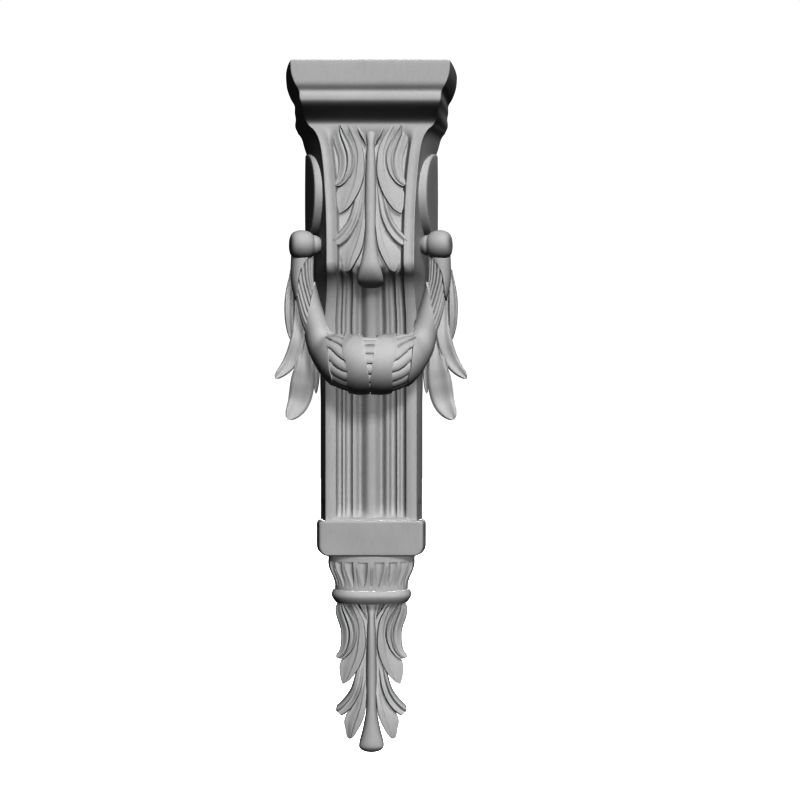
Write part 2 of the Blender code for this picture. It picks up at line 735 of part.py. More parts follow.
# The same line carried on over the middle, so that it runs level through the bottom
OVER_MIDDLE = GARLAND_LINE + [(-out, down, thick) for out, down, thick in GARLAND_LINE[-2::-1]]
# Share of the half width at which the belly begins to swing forward, and how roundly it does
SWING_WIDTH = 0.80
SWING_POWER = 1.5


def garland_place(s):
    """Centre and radius. s runs from -1 at one knob through 0 at the bottom to 1 at the other."""
    out, down, thick = curve_through(OVER_MIDDLE, (1 - s) / 2)
    swing = max(1 - (out / SWING_WIDTH) ** 2, 0.0) ** SWING_POWER
    depth = mix(LIMB_DEPTH, BELLY_DEPTH, swing)
    z = knob_seat(1)[0].z - GARLAND_DROP * down
    return Vector((out * GARLAND_HALF, -depth, z)), thick * GARLAND_RADIUS


# Stretches of the bundle from the bottom to a knob: end share, True under a ribbon, slant in radians
GARLAND_STRETCHES = [(0.035, False, 0.10), (0.16, True, 0.20), (0.36, False, 0.35), (0.66, True, 0.75)]
GARLAND_STRETCHES += [(0.86, False, 0.75), (1.0, True, 0.20)]
STRETCH_STEP = 0.002


def garland_ring(s, ribbon, slant):
    """One ring of the bundle, tilted by the slant of the ribbon's edge."""
    centre, radius = garland_place(s)
    ahead = garland_place(min(s + 0.01, 1.0))[0] - garland_place(max(s - 0.01, -1.0))[0]
    tangent = ahead.normalized()
    front = Vector((0, -1, 0))
    across = tangent.cross(front).normalized()
    front = across.cross(tangent).normalized()
    ring_points = []
    for i in range(GARLAND_SIDES):
        angle = math.tau * i / GARLAND_SIDES
        rise = RIBBON_RISE if ribbon else LAUREL_RISE * (0.5 if i % 2 else -0.5)
        reach = radius + rise
        lean = -math.tan(math.copysign(slant, s)) * math.sin(angle) * radius * 0.8
        ring_points.append(
            centre + (front * math.cos(angle) + across * math.sin(angle)) * reach + tangent * lean
        )
    return ring_points


def garland():
    half = []
    start = 0.0
    slant = 0.0
    for end, ribbon, next_slant in GARLAND_STRETCHES:
        steps = 3
        for i in range(steps + 1):
            t = i / steps
            s = mix(start, end, t) + (STRETCH_STEP if i == 0 else 0.0)
            half.append((s, ribbon, mix(slant, next_slant, t)))
        start = end
        slant = next_slant
    rows = [(-s, ribbon, slant) for s, ribbon, slant in reversed(half)] + half
    body = loft("garland", [garland_ring(*row) for row in rows])
    combine(body, [knob("seat", side, CLEARANCE) for side in (1, -1)], "DIFFERENCE")
    return clear_of_body(body)


# Leaf sprays behind the garland's limbs

# (out from the shaft's side, down from the knob, forward) along each spine and then its half width, in shares
# of the spray's reach, drop and depth, with the half width a share of its reach
SPRAY_LEAVES = [
    ([(0.62, 0.13, 0.6), (0.68, 0.26, 0.9), (0.69, 0.40, 1.0), (0.65, 0.54, 0.8)], 0.105),
    ([(0.44, 0.24, 0.4), (0.42, 0.40, 0.7), (0.48, 0.54, 1.05), (0.68, 0.67, 1.1), (1.0, 0.765, 1.5)], 0.165),
    ([(0.31, 0.40, 0.6), (0.43, 0.60, 1.0), (0.56, 0.73, 1.2)], 0.075),
    ([(0.30, 0.41, 0.5), (0.36, 0.66, 1.05), (0.41, 0.78, 1.05), (0.49, 0.90, 0.95), (0.70, 1.0, 1.5)], 0.235),
    ([(0.16, 0.33, 0.4), (0.08, 0.60, 0.6), (0.09, 0.85, 0.6)], 0.086),
]
# (down, out, forward) shares of the block behind the leaves
SPRAY_ROOT = [(0.24, 0.42, 0.6), (0.40, 0.66, 1.0), (0.62, 0.31, 0.9)]
WIDEST = 0.60
# (across, lift) round a leaf's section: two low ridges with a hollow between, and a flat back
LEAF_SECTION = [(-1, 0.3), (-0.5, 0.85), (0, 0.6), (0.5, 0.85), (1, 0.3), (0.6, -0.5), (-0.6, -0.5)]


def shaft_side():
    return SHAFT_WIDTH / 2 + SHAFT_SPREAD


def leaf_width(t):
    """A leaf's width at share t of its spine: narrow at the root, broad below, with a round tip."""
    if t < WIDEST:
        return mix(0.55, 1.0, smooth(t / WIDEST))
    return max(1 - ((t - WIDEST) / (1.0 - WIDEST)) ** 2.4, 0.0) ** 0.55


def spray_leaf(side, spine, half_share):
    """One leaf of a spray: a lens-shaped blade, hollowed along its middle."""
    knob_z = knob_seat(side)[0].z
    points = [
        (shaft_side() + out * SPRAY_REACH, knob_z - down * SPRAY_DROP, SPRAY_DEPTH * depth)
        for out, down, depth in spine
    ]
    rings = []
    steps = 8
    for i in range(steps + 1):
        t = i / steps
        x, z, depth = curve_through(points, t)
        back_x, back_z, _ = curve_through(points, t - 0.02)
        next_x, next_z, _ = curve_through(points, t + 0.02)
        ahead = Vector((next_x - back_x, 0, next_z - back_z)).normalized()
        across = Vector((-ahead.z, 0, ahead.x))
        half = half_share * SPRAY_REACH * max(leaf_width(t), 0.12)
        thick = SPRAY_THICKNESS * (1 - 0.5 * t)
        centre = Vector((x, -depth, z))
        row = []
        for share, lift in LEAF_SECTION:
            spot = centre + across * half * share + Vector((0, -1, 0)) * thick * lift
            row.append(Vector((side * spot.x, spot.y, spot.z)))
        rings.append(row)
    return loft("leaf", rings)


def spray_root(side):
    """The block behind the leaves, which joins them and meets the shaft's side."""
    knob_z = knob_seat(side)[0].z
    edge = shaft_side() + CLEARANCE
    rings = []
    for down, out, depth in SPRAY_ROOT:
        z = knob_z - down * SPRAY_DROP
        near = SPRAY_DEPTH * depth
        reach = out * SPRAY_REACH
        corners = [(edge, 0.0), (edge + reach, 0.0), (edge + reach * 0.9, near), (edge, near)]
        rings.append([Vector((side * x, -d, z)) for x, d in corners])
    return loft("root", rings)


def leaf_spray(name, side):
    root = spray_root(side)
    root.name = name
    leaves = [spray_leaf(side, spine, half) for spine, half in SPRAY_LEAVES]
    return clear_of_body(combine(root, leaves, "UNION"))


# Finishes


def painted_wood(name, colour, roughness):
    material = bpy.data.materials.new(name)
    material.use_nodes = True
    shader = material.node_tree.nodes["Principled BSDF"]
    shader.inputs["Base Color"].default_value = (*colour, 1.0)
    shader.inputs["Roughness"].default_value = roughness
    return material


def finish(obj, material):
    obj.data.materials.clear()
    obj.data.materials.append(material)
    obj.data.shade_smooth()
    obj.data.set_sharp_from_angle(angle=math.radians(35))


def clear_scene():
    for obj in list(bpy.data.objects):
        bpy.data.objects.remove(obj)


def main():
    clear_scene()
    finish(bracket_body(), painted_wood("body_paint", (0.36, 0.36, 0.36), 0.45))
    finish(garland(), painted_wood("garland_paint", (0.38, 0.38, 0.38), 0.42))
    for name, side in (("right", 1), ("left", -1)):
        finish(knob("knob_" + name, side), painted_wood("knob_paint_" + name, (0.34, 0.34, 0.34), 0.40))
        spray = leaf_spray("leaf_spray_" + name, side)
        finish(spray, painted_wood("spray_paint_" + name, (0.36, 0.36, 0.36), 0.45))


main()
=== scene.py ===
# %% [markdown]
# # A painted, carved-wood corbel
# The bracket hangs on a wall and looks as if it carried a shelf. A carver would glue up one blank, cut the
# mouldings and flutes with planes and gouges, and plant the garland, the knobs and the leaf sprays on it.
# The solids of the frame already hold every main form. This lesson makes the same forms again with finer
# surfaces: soft arrises, hollow flutes, overlapping leaf blades and a ribbon with crisp edges.

# %% Load the frame
import json
import math

import bmesh
import bpy
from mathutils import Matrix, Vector

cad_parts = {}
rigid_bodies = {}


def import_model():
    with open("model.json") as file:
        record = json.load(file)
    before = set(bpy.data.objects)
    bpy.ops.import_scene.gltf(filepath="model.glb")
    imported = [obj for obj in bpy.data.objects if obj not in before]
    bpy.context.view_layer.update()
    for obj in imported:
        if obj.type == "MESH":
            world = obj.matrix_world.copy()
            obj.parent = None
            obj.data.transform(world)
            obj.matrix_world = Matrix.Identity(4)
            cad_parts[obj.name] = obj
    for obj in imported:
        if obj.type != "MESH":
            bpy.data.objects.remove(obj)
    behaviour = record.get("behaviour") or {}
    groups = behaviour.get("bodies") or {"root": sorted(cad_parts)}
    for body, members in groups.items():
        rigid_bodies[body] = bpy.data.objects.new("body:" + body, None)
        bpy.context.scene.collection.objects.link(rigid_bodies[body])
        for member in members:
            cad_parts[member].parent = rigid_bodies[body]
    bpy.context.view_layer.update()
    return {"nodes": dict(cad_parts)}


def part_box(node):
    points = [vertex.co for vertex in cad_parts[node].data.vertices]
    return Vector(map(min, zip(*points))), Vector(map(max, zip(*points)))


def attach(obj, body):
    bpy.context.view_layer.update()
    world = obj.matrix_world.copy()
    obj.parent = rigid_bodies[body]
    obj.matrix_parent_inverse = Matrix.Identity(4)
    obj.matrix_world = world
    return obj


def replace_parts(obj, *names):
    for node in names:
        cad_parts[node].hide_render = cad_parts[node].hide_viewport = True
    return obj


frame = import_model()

print("frame nodes:", sorted(frame["nodes"]))

# %% [markdown]
# ## Sizes that the carver sets out first
# The body's box gives the top and the bottom, so the fine surfaces sit where the solids do. The
# levels are the joints between the mouldings, counted down from the top as on a carver's rod.

# %% Levels
BODY_LOW, BODY_HIGH = (Vector(corner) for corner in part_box("bracket_body"))
TOP = BODY_HIGH.z
TIP = BODY_LOW.z

# height of each moulding, from the top down
MOULDINGS = {
    "slab": 0.0258,
    "bead": 0.0064,
    "ogee": 0.0194,
    "console": 0.1295,
    "sweep": 0.1085,
    "shaft": 0.1040,
    "block": 0.0311,
    "neck": 0.0311,
    "ring": 0.0116,
}
LEVEL = {}
level = TOP
for name, size in MOULDINGS.items():
    level -= size
    LEVEL[name] = level
print("heights of the joints:", {name: round(z, 4) for name, z in LEVEL.items()})

# %% [markdown]
# ## Three small tools for shapes
# Nearly every surface here is a stack of rings or a grid of points. `curve_through` draws a smooth line
# through a few chosen places, `loft` skins a stack of rings, and `piece` turns skins into one object that
# rides on the bracket. Writing points by rule keeps each form editable by its named sizes.

# %% Curves and skins


def mix(a, b, t):
    return a + (b - a) * t


def clamp(t):
    return min(max(t, 0.0), 1.0)


def smooth(t):
    t = clamp(t)
    return t * t * (3 - 2 * t)


def curve_through(points, t):
    """A point at share t of a smooth curve that passes through the points."""
    place = clamp(t) * (len(points) - 1)
    i = min(int(place), len(points) - 2)
    f = place - i
    p1 = points[i]
    p2 = points[i + 1]
    p0 = points[i - 1] if i else [2 * a - b for a, b in zip(p1, p2)]
    p3 = points[i + 2] if i + 2 < len(points) else [2 * b - a for a, b in zip(p1, p2)]
    return [
        0.5 * (2 * b + (c - a) * f + (2 * a - 5 * b + 4 * c - d) * f * f + (3 * b - a - 3 * c + d) * f**3)
        for a, b, c, d in zip(p0, p1, p2, p3)
    ]


def eased(stops, t):
    """A height at share t, easing from stop to stop, so that ridges and valleys are softly rounded."""
    for (t0, h0), (t1, h1) in zip(stops, stops[1:]):
        if t <= t1:
            return mix(h0, h1, smooth((t - t0) / (t1 - t0)))
    return stops[-1][1]


def loft(rings, closed=True, capped=True):
    """(points, faces) of a skin over rings of equally many points."""
    points = [point for ring in rings for point in ring]
    n = len(rings[0])
    faces = []
    for row in range(len(rings) - 1):
        for i in range(n if closed else n - 1):
            j = (i + 1) % n
            faces.append((row * n + i, row * n + n + i, row * n + n + j, row * n + j))
    if capped:
        faces.append(tuple(range(n)))
        faces.append(tuple(reversed(range(len(points) - n, len(points)))))
    return points, faces


def piece(name, skins, sharp=38.0):
    """One object from several closed skins, smooth but for its real edges."""
    shape = bmesh.new()
    for points, faces in skins:
        corners = [shape.verts.new(point) for point in points]
        for face in faces:
            shape.faces.new([corners[i] for i in face])
    bmesh.ops.remove_doubles(shape, verts=shape.verts, dist=2e-6)
    bmesh.ops.dissolve_degenerate(shape, edges=shape.edges, dist=1e-6)
    bmesh.ops.recalc_face_normals(shape, faces=shape.faces)
    mesh = bpy.data.meshes.new(name)
    shape.to_mesh(mesh)
    shape.free()
    mesh.shade_smooth()
    mesh.set_sharp_from_angle(angle=math.radians(sharp))
    made = bpy.data.objects.new(name, mesh)
    bpy.context.scene.collection.objects.link(made)
    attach(made, "root")
    print(name, "has", len(mesh.polygons), "faces")
    return made


# %% [markdown]
# ## The section of the bracket
# A carver works a bracket like this to two drawings: the profile seen from the side, and the width seen from
# the front. The profile here is one run of curves: a slab with a shallow cove under it, a bead that rolls
# into an ogee, the leaning face of the console, its rounded foot, and the hollow sweep down to the shaft.

# %% Depth, width and lean at every height

SLAB_DEPTH, SLAB_EDGE, CAP_COVE = 0.0569, 0.0018, 0.0019
BEAD_DEPTH, THROAT_DEPTH = 0.0557, 0.0354
FOOT_DEPTH, FOOT_ROUND, FOOT_SET_BACK = 0.0551, 0.0097, 0.0059
SHAFT_DEPTH = 0.0205
OGEE_START = LEVEL["bead"]
# height of the cove's hollow, and where and over what height the slab steps back to the bead
COVE_SPAN, STEP_START, STEP_SPAN = 0.0032, 0.018, 0.012
# flat share at each end of the ogee, outward swell of the console, and share of the sweep that is gentle
OGEE_FLAT, CONSOLE_SWELL, SWEEP_GENTLE = 0.06, 0.02, 0.68

CONSOLE_HALF, SHAFT_HALF = 0.0375, 0.0402
CONSOLE_SHOULDER, SHOULDER_HOOK, SHAFT_WIDENS_OVER = 0.0084, 0.0080, 0.044
# (distance below the top, half width at the front) down the cap
CAP_WIDTHS = [(0.0, 0.0680), (0.0116, 0.0672), (0.0208, 0.0640), (0.0268, 0.0606), (0.0330, 0.0600)]
CAP_WIDTHS += [(0.0385, 0.0585), (0.0455, 0.0577), (0.0516, 0.0539)]
# (distance below the top, how much wider each side is at the wall than in front)
WALL_SPREADS = [(0.0, 0.0080), (0.029, 0.0078), (0.049, 0.0106), (0.0633, 0.0145), (0.0814, 0.0125)]
WALL_SPREADS += [(0.130, 0.0125), (0.181, 0.0140), (0.225, 0.0070), (0.290, 0.0048)]


def read_off(keys, at):
    """The value of a keyed curve, smooth between its keys."""
    i = max(sum(place <= at for place, _ in keys) - 1, 0)
    if i + 1 >= len(keys):
        return keys[-1][1]
    before = keys[max(i - 1, 0)]
    after = keys[min(i + 2, len(keys) - 1)]
    width = keys[i + 1][0] - keys[i][0]
    t = clamp((at - keys[i][0]) / width)
    slope_in = (keys[i + 1][1] - before[1]) / (keys[i + 1][0] - before[0])
    slope_out = (after[1] - keys[i][1]) / (after[0] - keys[i][0])
    bend = slope_in * width * t * (1 - t) ** 2 - slope_out * width * t * t * (1 - t)
    return mix(keys[i][1], keys[i + 1][1], smooth(t)) + bend


def front_depth(z):
    """How far the front stands out from the wall at a height."""
    if z > OGEE_START:
        cove = CAP_COVE * math.exp(-(((LEVEL["slab"] - z) / COVE_SPAN) ** 2))
        step = (SLAB_DEPTH - BEAD_DEPTH) * smooth((TOP - z - STEP_START) / STEP_SPAN)
        return SLAB_DEPTH - step - cove
    if z > LEVEL["ogee"]:
        turn = ((OGEE_START - z) / MOULDINGS["ogee"] - OGEE_FLAT) / (1 - 2 * OGEE_FLAT)
        return mix(BEAD_DEPTH, THROAT_DEPTH, smooth(turn))
    foot = LEVEL["console"] + FOOT_ROUND
    if z > foot:
        s = (LEVEL["ogee"] - z) / (LEVEL["ogee"] - foot)
        return mix(THROAT_DEPTH, FOOT_DEPTH, s + CONSOLE_SWELL * math.sin(math.pi * s))
    if z > LEVEL["console"]:
        return FOOT_DEPTH - FOOT_SET_BACK * ((foot - z) / FOOT_ROUND) ** 2.2
    left = 1 - clamp((LEVEL["console"] - z) / MOULDINGS["sweep"])
    # a gentle run to the shaft and a short, quick turn under the foot
    out = SWEEP_GENTLE * left**1.5 + (1 - SWEEP_GENTLE) * left**12
    return mix(SHAFT_DEPTH, FOOT_DEPTH - FOOT_SET_BACK, out)


def front_half(z):
    if z > LEVEL["ogee"]:
        return read_off(CAP_WIDTHS, TOP - z)
    up = clamp((z - LEVEL["console"]) / MOULDINGS["console"])
    shoulder = CONSOLE_SHOULDER * up**2.54 + SHOULDER_HOOK * up**20
    return mix(CONSOLE_HALF, SHAFT_HALF, smooth((LEVEL["console"] - z) / SHAFT_WIDENS_OVER)) + shoulder


def wall_spread(z):
    return read_off(WALL_SPREADS, TOP - z)


# %% [markdown]
# ## Across the front
# Cut the bracket level and look at its front edge: in the cap it is plain, in the console it is a hollow
# border beside a sunk panel, and on the shaft it is a crowned border, three flutes with narrow fillets
# between them, and a broad reed in the middle. All three are drawn with equally many spots from the corner
# to the centre line, so that one can melt into the next under the console's foot.

# %% Front edges

SPOTS = 63
CONSOLE_BORDER, BORDER_COVE, PANEL_WALL, PANEL_SINK = 0.0088, 0.0011, 0.0030, 0.0056
SHAFT_BORDER, BORDER_CROWN = 0.0094, 0.0009
FILLET_2, FLUTE_2, FILLET_1, GROOVE = 0.0249, 0.0228, 0.0161, 0.0141
REED_HALF, REED_BACK, FILLET_BACK, GROOVE_BACK = 0.0094, 0.0023, 0.0040, 0.0086
FLUTE_DEPTH = 0.0039


def plain_front(half, edge):
    return [(mix(half - edge, 0.0, i / (SPOTS - 1)), 0.0) for i in range(SPOTS)]


def console_front(half, edge):
    spots = []
    for i in range(13):
        e = mix(edge, CONSOLE_BORDER, i / 12)
        spots.append((half - e, BORDER_COVE * math.sin(math.pi * e / CONSOLE_BORDER)))
    for i in range(1, 13):
        s = i / 12
        spots.append((half - CONSOLE_BORDER - PANEL_WALL * s, PANEL_SINK * smooth(s)))
    left = SPOTS - len(spots)
    inner = spots[-1][0]
    return spots + [(inner * (1 - i / left), PANEL_SINK) for i in range(1, left + 1)]


def shaft_front(half, edge):
    k = half / SHAFT_HALF
    spots = []
    for i in range(13):
        e = mix(edge, SHAFT_BORDER, i / 12)
        off = (e - SHAFT_BORDER * 0.45) / (SHAFT_BORDER * 0.55)
        spots.append((half - e * k, BORDER_CROWN * off * off))
    corner = SHAFT_HALF - SHAFT_BORDER
    for start, end, back_0, back_1, steps in (
        (corner, FILLET_2, BORDER_CROWN, FILLET_BACK, 12),
        (FLUTE_2, FILLET_1, FILLET_BACK, FILLET_BACK, 14),
    ):
        for i in range(0 if start == FLUTE_2 else 1, steps + 1):
            s = i / steps
            hollow = FLUTE_DEPTH * (1 - (2 * s - 1) ** 2) ** 0.85
            spots.append((mix(start, end, s) * k, mix(back_0, back_1, s) + hollow))
    spots.append((mix(FILLET_1, GROOVE, 0.5) * k, FILLET_BACK))
    for i in range(7):
        s = i / 6
        spots.append((mix(GROOVE, REED_HALF, s) * k, mix(FILLET_BACK, GROOVE_BACK, smooth(s))))
    left = SPOTS - len(spots)
    for i in range(1, left + 1):
        u = 1 - i / left
        spots.append((REED_HALF * u * k, mix(REED_BACK, GROOVE_BACK, smooth(u**1.5))))
    return spots


def level_section(z, half, spread, depth, edge=0.0012, console=0.0, shaft=0.0, bulge=0.0, deep=1.0):
    """The outline at one height, from the wall round the front and back to the wall."""
    right = []
    for i in range(9):
        s = i / 8
        right.append((half + spread * (1 - s) + bulge * 4 * s * (1 - s), (depth - edge) * s))
    for i in range(1, 6):
        turn = math.radians(18 * i)
        right.append((half - edge + edge * math.cos(turn), depth - edge + edge * math.sin(turn)))
    plain, panel, flutes = (draw(half, edge) for draw in (plain_front, console_front, shaft_front))
    for (x0, b0), (x1, b1), (x2, b2) in zip(plain, panel, flutes):
        x = x0 + (x1 - x0) * console + (x2 - x0) * shaft
        right.append((x, depth - b0 - b1 * console - b2 * shaft * deep))
    left = [(-x, d) for x, d in reversed(right[:-1])]
    return [Vector((x, -d, z)) for x, d in right + left]


print("spots across the shaft:", len(shaft_front(SHAFT_HALF, 0.0012)))

# %% [markdown]
# ## Cap, console, sweep and shaft in one skin
# Real mouldings of this kind are worked on one blank, so they are one skin here too: a stack of level
# outlines from the top of the slab to the foot of the shaft. The rows lie closest where the profile turns.
# The flutes end in scoops: just above the block their floors rise in a quarter circle to the face.

# %% The long skin

FLUTE_END, FLUTE_STOP, END_ROWS = 0.0140, 0.0020, 20
CAP_BULGE, SIDE_BULGE, JOINT_DEPTH = 0.0010, 0.0006, 0.0060
SLAB_FACE, QUICK_TURN = 0.0165, 0.030
# height over which the panel sinks in, and where and over what height the flutes begin under the foot
PANEL_BEGINS_OVER, FLUTES_BEGIN, FLUTES_BEGIN_OVER = 0.018, 0.0075, 0.0085


def long_skin():
    rows = []
    for i in range(7):
        turn = math.radians(15 * i)
        inset = SLAB_EDGE * (1 - math.sin(turn))
        z = TOP - SLAB_EDGE * (1 - math.cos(turn))
        size = (front_half(z) - inset, wall_spread(z), SLAB_DEPTH - inset)
        rows.append(level_section(z, *size, bulge=CAP_BULGE))
    heights = []
    foot = LEVEL["console"] + FOOT_ROUND
    for start, end, steps in (
        (TOP - SLAB_EDGE, TOP - SLAB_FACE, 5),
        (TOP - SLAB_FACE, OGEE_START, 22),
        (OGEE_START, LEVEL["ogee"], 28),
        (LEVEL["ogee"], foot, 48),
        (foot, LEVEL["console"], 16),
        (LEVEL["console"], LEVEL["console"] - QUICK_TURN, 20),
        (LEVEL["console"] - QUICK_TURN, LEVEL["shaft"] + FLUTE_END + FLUTE_STOP, 46),
    ):
        heights += [mix(start, end, i / steps) for i in range(1, steps + 1)]
    for z in heights:
        shaft = smooth((LEVEL["console"] + FLUTES_BEGIN - z) / FLUTES_BEGIN_OVER)
        console = smooth((LEVEL["ogee"] - z) / PANEL_BEGINS_OVER) * (1 - shaft)
        size = (front_half(z), wall_spread(z), front_depth(z))
        rows.append(level_section(z, *size, console=console, shaft=shaft, bulge=SIDE_BULGE))
    for i in range(1, END_ROWS + 1):
        turn = math.pi / 2 * i / END_ROWS
        z = LEVEL["shaft"] + FLUTE_STOP + FLUTE_END * (1 - math.sin(turn))
        deep = math.cos(turn)
        rows.append(level_section(z, front_half(z), wall_spread(z), SHAFT_DEPTH, shaft=1.0, deep=deep))
    rows.append(level_section(LEVEL["shaft"] - JOINT_DEPTH, front_half(z), wall_spread(z), SHAFT_DEPTH))
    return loft(rows)


# %% [markdown]
# ## Base block
# The block below the shaft is plain but pillowed. Its top corners are eased, its lower corners are well
# rounded, and its face leans back a little as it goes down. The insets are worked out from the height, which
# keeps the faces smooth where a bevel would leave flat bands.

# %% Block skin

BLOCK_OVERHANG, BLOCK_STEP, BLOCK_SPREAD, BLOCK_LEAN = 0.0057, 0.0044, 0.0023, 0.0022
BLOCK_TOP_ROUND, BLOCK_LOW_ROUND, BLOCK_ARRIS = 0.0035, 0.0095, 0.0016


def block_skin():
    half = SHAFT_HALF + BLOCK_OVERHANG
    height = MOULDINGS["block"]
    rows = []
    steps = 40
    for i in range(steps + 1):
        down = height * (1 - math.cos(math.pi * i / steps)) / 2
        up = height - down
        top = max(1 - down / BLOCK_TOP_ROUND, 0.0)
        low = max(1 - up / BLOCK_LOW_ROUND, 0.0)
        side = BLOCK_TOP_ROUND * (1 - math.sqrt(1 - top**2)) + BLOCK_LOW_ROUND * (1 - math.sqrt(1 - low**2.4))
        face = BLOCK_LEAN * down / height
        for near in (down, up):
            share = max(1 - near / BLOCK_ARRIS, 0.0)
            face += BLOCK_ARRIS * (1 - math.sqrt(1 - share**2)) * (0.6 if near is down else 1.6)
        depth = SHAFT_DEPTH + BLOCK_STEP - face
        z = LEVEL["shaft"] - down
        rows.append(level_section(z, half - side, BLOCK_SPREAD, depth, edge=0.0030, bulge=0.0008))
    return loft(rows)


# %% [markdown]
# ## Neck and ring
# Below the block the plan turns half round. The neck has a plain band and then tongue-shaped hollows that
# end in points, with a thin dart between each pair, and the ring under it is an ovolo. Both are half
# ellipses whose radius is pushed in where the gouge has cut.

# %% Half-round mouldings

NECK_WIDTH, NECK_DEPTH, NECK_BAND, NECK_TAPER = 0.0768, 0.0205, 0.0056, 0.0060
NECK_FLUTES, NECK_FLUTE_DEPTH, DART_DEPTH = 8, 0.0026, 0.0006
RING_WIDTH, RING_DEPTH, RING_UNDERCUT = 0.0710, 0.0212, 0.0055
NECK_SPOTS, RING_SPOTS, RING_STEPS = 264, 80, 16


def half_round(z, half, depth, spots, cut):
    ring = []
    for i in range(spots + 1):
        angle = math.pi * i / spots
        back = cut(angle)
        c, s = math.cos(angle), math.sin(angle)
        x = math.copysign(abs(c) ** 0.9, c)
        ring.append(Vector(((half - back) * x, -(depth - back) * s**0.9, z)))
    return ring


def neck_cut(angle, t):
    """How deep the gouge has gone at an angle, at a share t of the way down the hollows."""
    if not 0 < t < 1:
        return 0.0
    pitch = math.pi / NECK_FLUTES * 0.83
    place = (angle - math.pi / 2) / pitch
    if abs(place) > NECK_FLUTES / 2:
        return 0.0
    across = abs(2 * (place - math.floor(place)) - 1)
    narrow = 0.64 * (1 - t**2.2) ** 0.8
    hollow = NECK_FLUTE_DEPTH * max(1 - (across / max(narrow, 0.02)) ** 2, 0.0) ** 0.7
    dart = DART_DEPTH * max(1 - abs(across - 0.94) / 0.07, 0.0) * smooth(t * 5 - 0.8)
    return hollow * (1 - 0.4 * t) + dart


def neck_rows():
    flute_top = LEVEL["block"] - NECK_BAND
    foot = LEVEL["neck"] + 0.0035
    heights = [mix(LEVEL["block"] + 0.0015, flute_top, i / 8) for i in range(9)]
    heights += [mix(flute_top, foot, 0.012 + 0.988 * i / 34) for i in range(35)]
    heights += [foot - 0.002, LEVEL["neck"] - 0.003]
    rows = []
    for z in heights:
        t = (flute_top - z) / (flute_top - foot)
        taper = NECK_TAPER * smooth((t - 0.1) / 0.9)
        half = NECK_WIDTH / 2 - taper
        depth = NECK_DEPTH - taper * 0.4
        rows.append(half_round(z, half, depth, NECK_SPOTS, lambda angle, t=t: neck_cut(angle, t)))
    return rows


def ring_rows():
    rows = []
    for i in range(RING_STEPS + 1):
        t = i / RING_STEPS
        inset = RING_UNDERCUT * (1 - math.sin(math.pi * (0.24 + 0.66 * t))) ** 0.9
        z = mix(LEVEL["neck"], LEVEL["ring"], t)
        rows.append(half_round(z, RING_WIDTH / 2 - inset, RING_DEPTH - inset, RING_SPOTS, lambda angle: 0.0))
    return rows


# %% [markdown]
# ## Roundels
# Each side wall carries half of a plain turned disc, as if it had been sawn in two by the wall. A lathe
# profile of a square rim and a faintly domed face is swept through half a turn, and then leaned to lie on the
# sloping side wall.

# %% Roundel skins

ROUNDEL_RADIUS, ROUNDEL_DROP, ROUNDEL_RISE = 0.0386, 0.0575, 0.0071
# (share of the radius, share of the rise)
ROUNDEL_PROFILE = [
    (1.0, -0.8), (1.0, 0.0), (1.0, 0.45), (1.0, 0.84), (0.993, 0.93), (0.978, 0.98),
    (0.955, 1.0), (0.80, 1.015), (0.55, 1.03), (0.28, 1.04), (0.0, 1.045),
]


def side_wall(z, depth):
    """The side wall: half width at a height and depth, and how far it leans for each metre of depth."""
    lean = wall_spread(z) / front_depth(z)
    return front_half(z) + wall_spread(z) - lean * depth, lean


def roundel(side):
    centre = LEVEL["ogee"] - ROUNDEL_DROP
    rings = []
    for radius, rise in ROUNDEL_PROFILE:
        ring = []
        for i in range(97):
            angle = math.pi * i / 96
            depth = ROUNDEL_RADIUS * radius * math.sin(angle)
            wall, _ = side_wall(centre, depth)
            z = centre + ROUNDEL_RADIUS * radius * math.cos(angle)
            ring.append(Vector((side * (wall + ROUNDEL_RISE * rise), -depth, z)))
        rings.append(ring)
    return loft(rings)


# %% [markdown]
# ## Acanthus leaves
# The leaf is drawn as a carver would set it out: a stem, and on each side five blades. Every blade has an
# outer and an inner edge line and a cross profile of ridges and hollows between them. The blades lie over
# each other, so the deep dark channels are real gaps and not painted lines. The pendant and the panel share
# the drawing, in shares of their own width and height.

# %% Leaf drawing

# (across, down) along each edge from root to tip
UPPER_BLADE_OUTER = [(0.90, 0.0), (1.0, 0.05), (0.97, 0.11), (0.86, 0.19)]
UPPER_BLADE_OUTER += [(0.845, 0.27), (0.90, 0.335), (0.975, 0.358), (0.995, 0.374)]
UPPER_BLADE_INNER = [(0.79, 0.0), (0.61, 0.068), (0.46, 0.125), (0.39, 0.19)]
UPPER_BLADE_INNER += [(0.41, 0.26), (0.54, 0.33), (0.78, 0.382), (0.995, 0.374)]
UPPER_LOBE_OUTER = [(0.76, 0.0), (0.60, 0.12), (0.56, 0.26), (0.74, 0.36)]
UPPER_LOBE_OUTER += [(0.84, 0.398), (0.895, 0.44), (0.862, 0.51), (0.80, 0.553)]
UPPER_LOBE_INNER = [(0.53, 0.0), (0.34, 0.075), (0.21, 0.14), (0.155, 0.24)]
UPPER_LOBE_INNER += [(0.165, 0.32), (0.30, 0.42), (0.56, 0.515), (0.80, 0.553)]
LOWER_BLADE_OUTER = [(0.22, 0.32), (0.38, 0.43), (0.46, 0.50), (0.56, 0.575)]
LOWER_BLADE_OUTER += [(0.68, 0.625), (0.84, 0.67), (0.965, 0.70), (0.975, 0.728)]
LOWER_BLADE_INNER = [(0.14, 0.32), (0.20, 0.45), (0.26, 0.56), (0.36, 0.63)]
LOWER_BLADE_INNER += [(0.47, 0.68), (0.63, 0.725), (0.82, 0.753), (0.975, 0.728)]
LOWER_LOBE_OUTER = [(0.18, 0.32), (0.29, 0.52), (0.50, 0.69), (0.70, 0.757)]
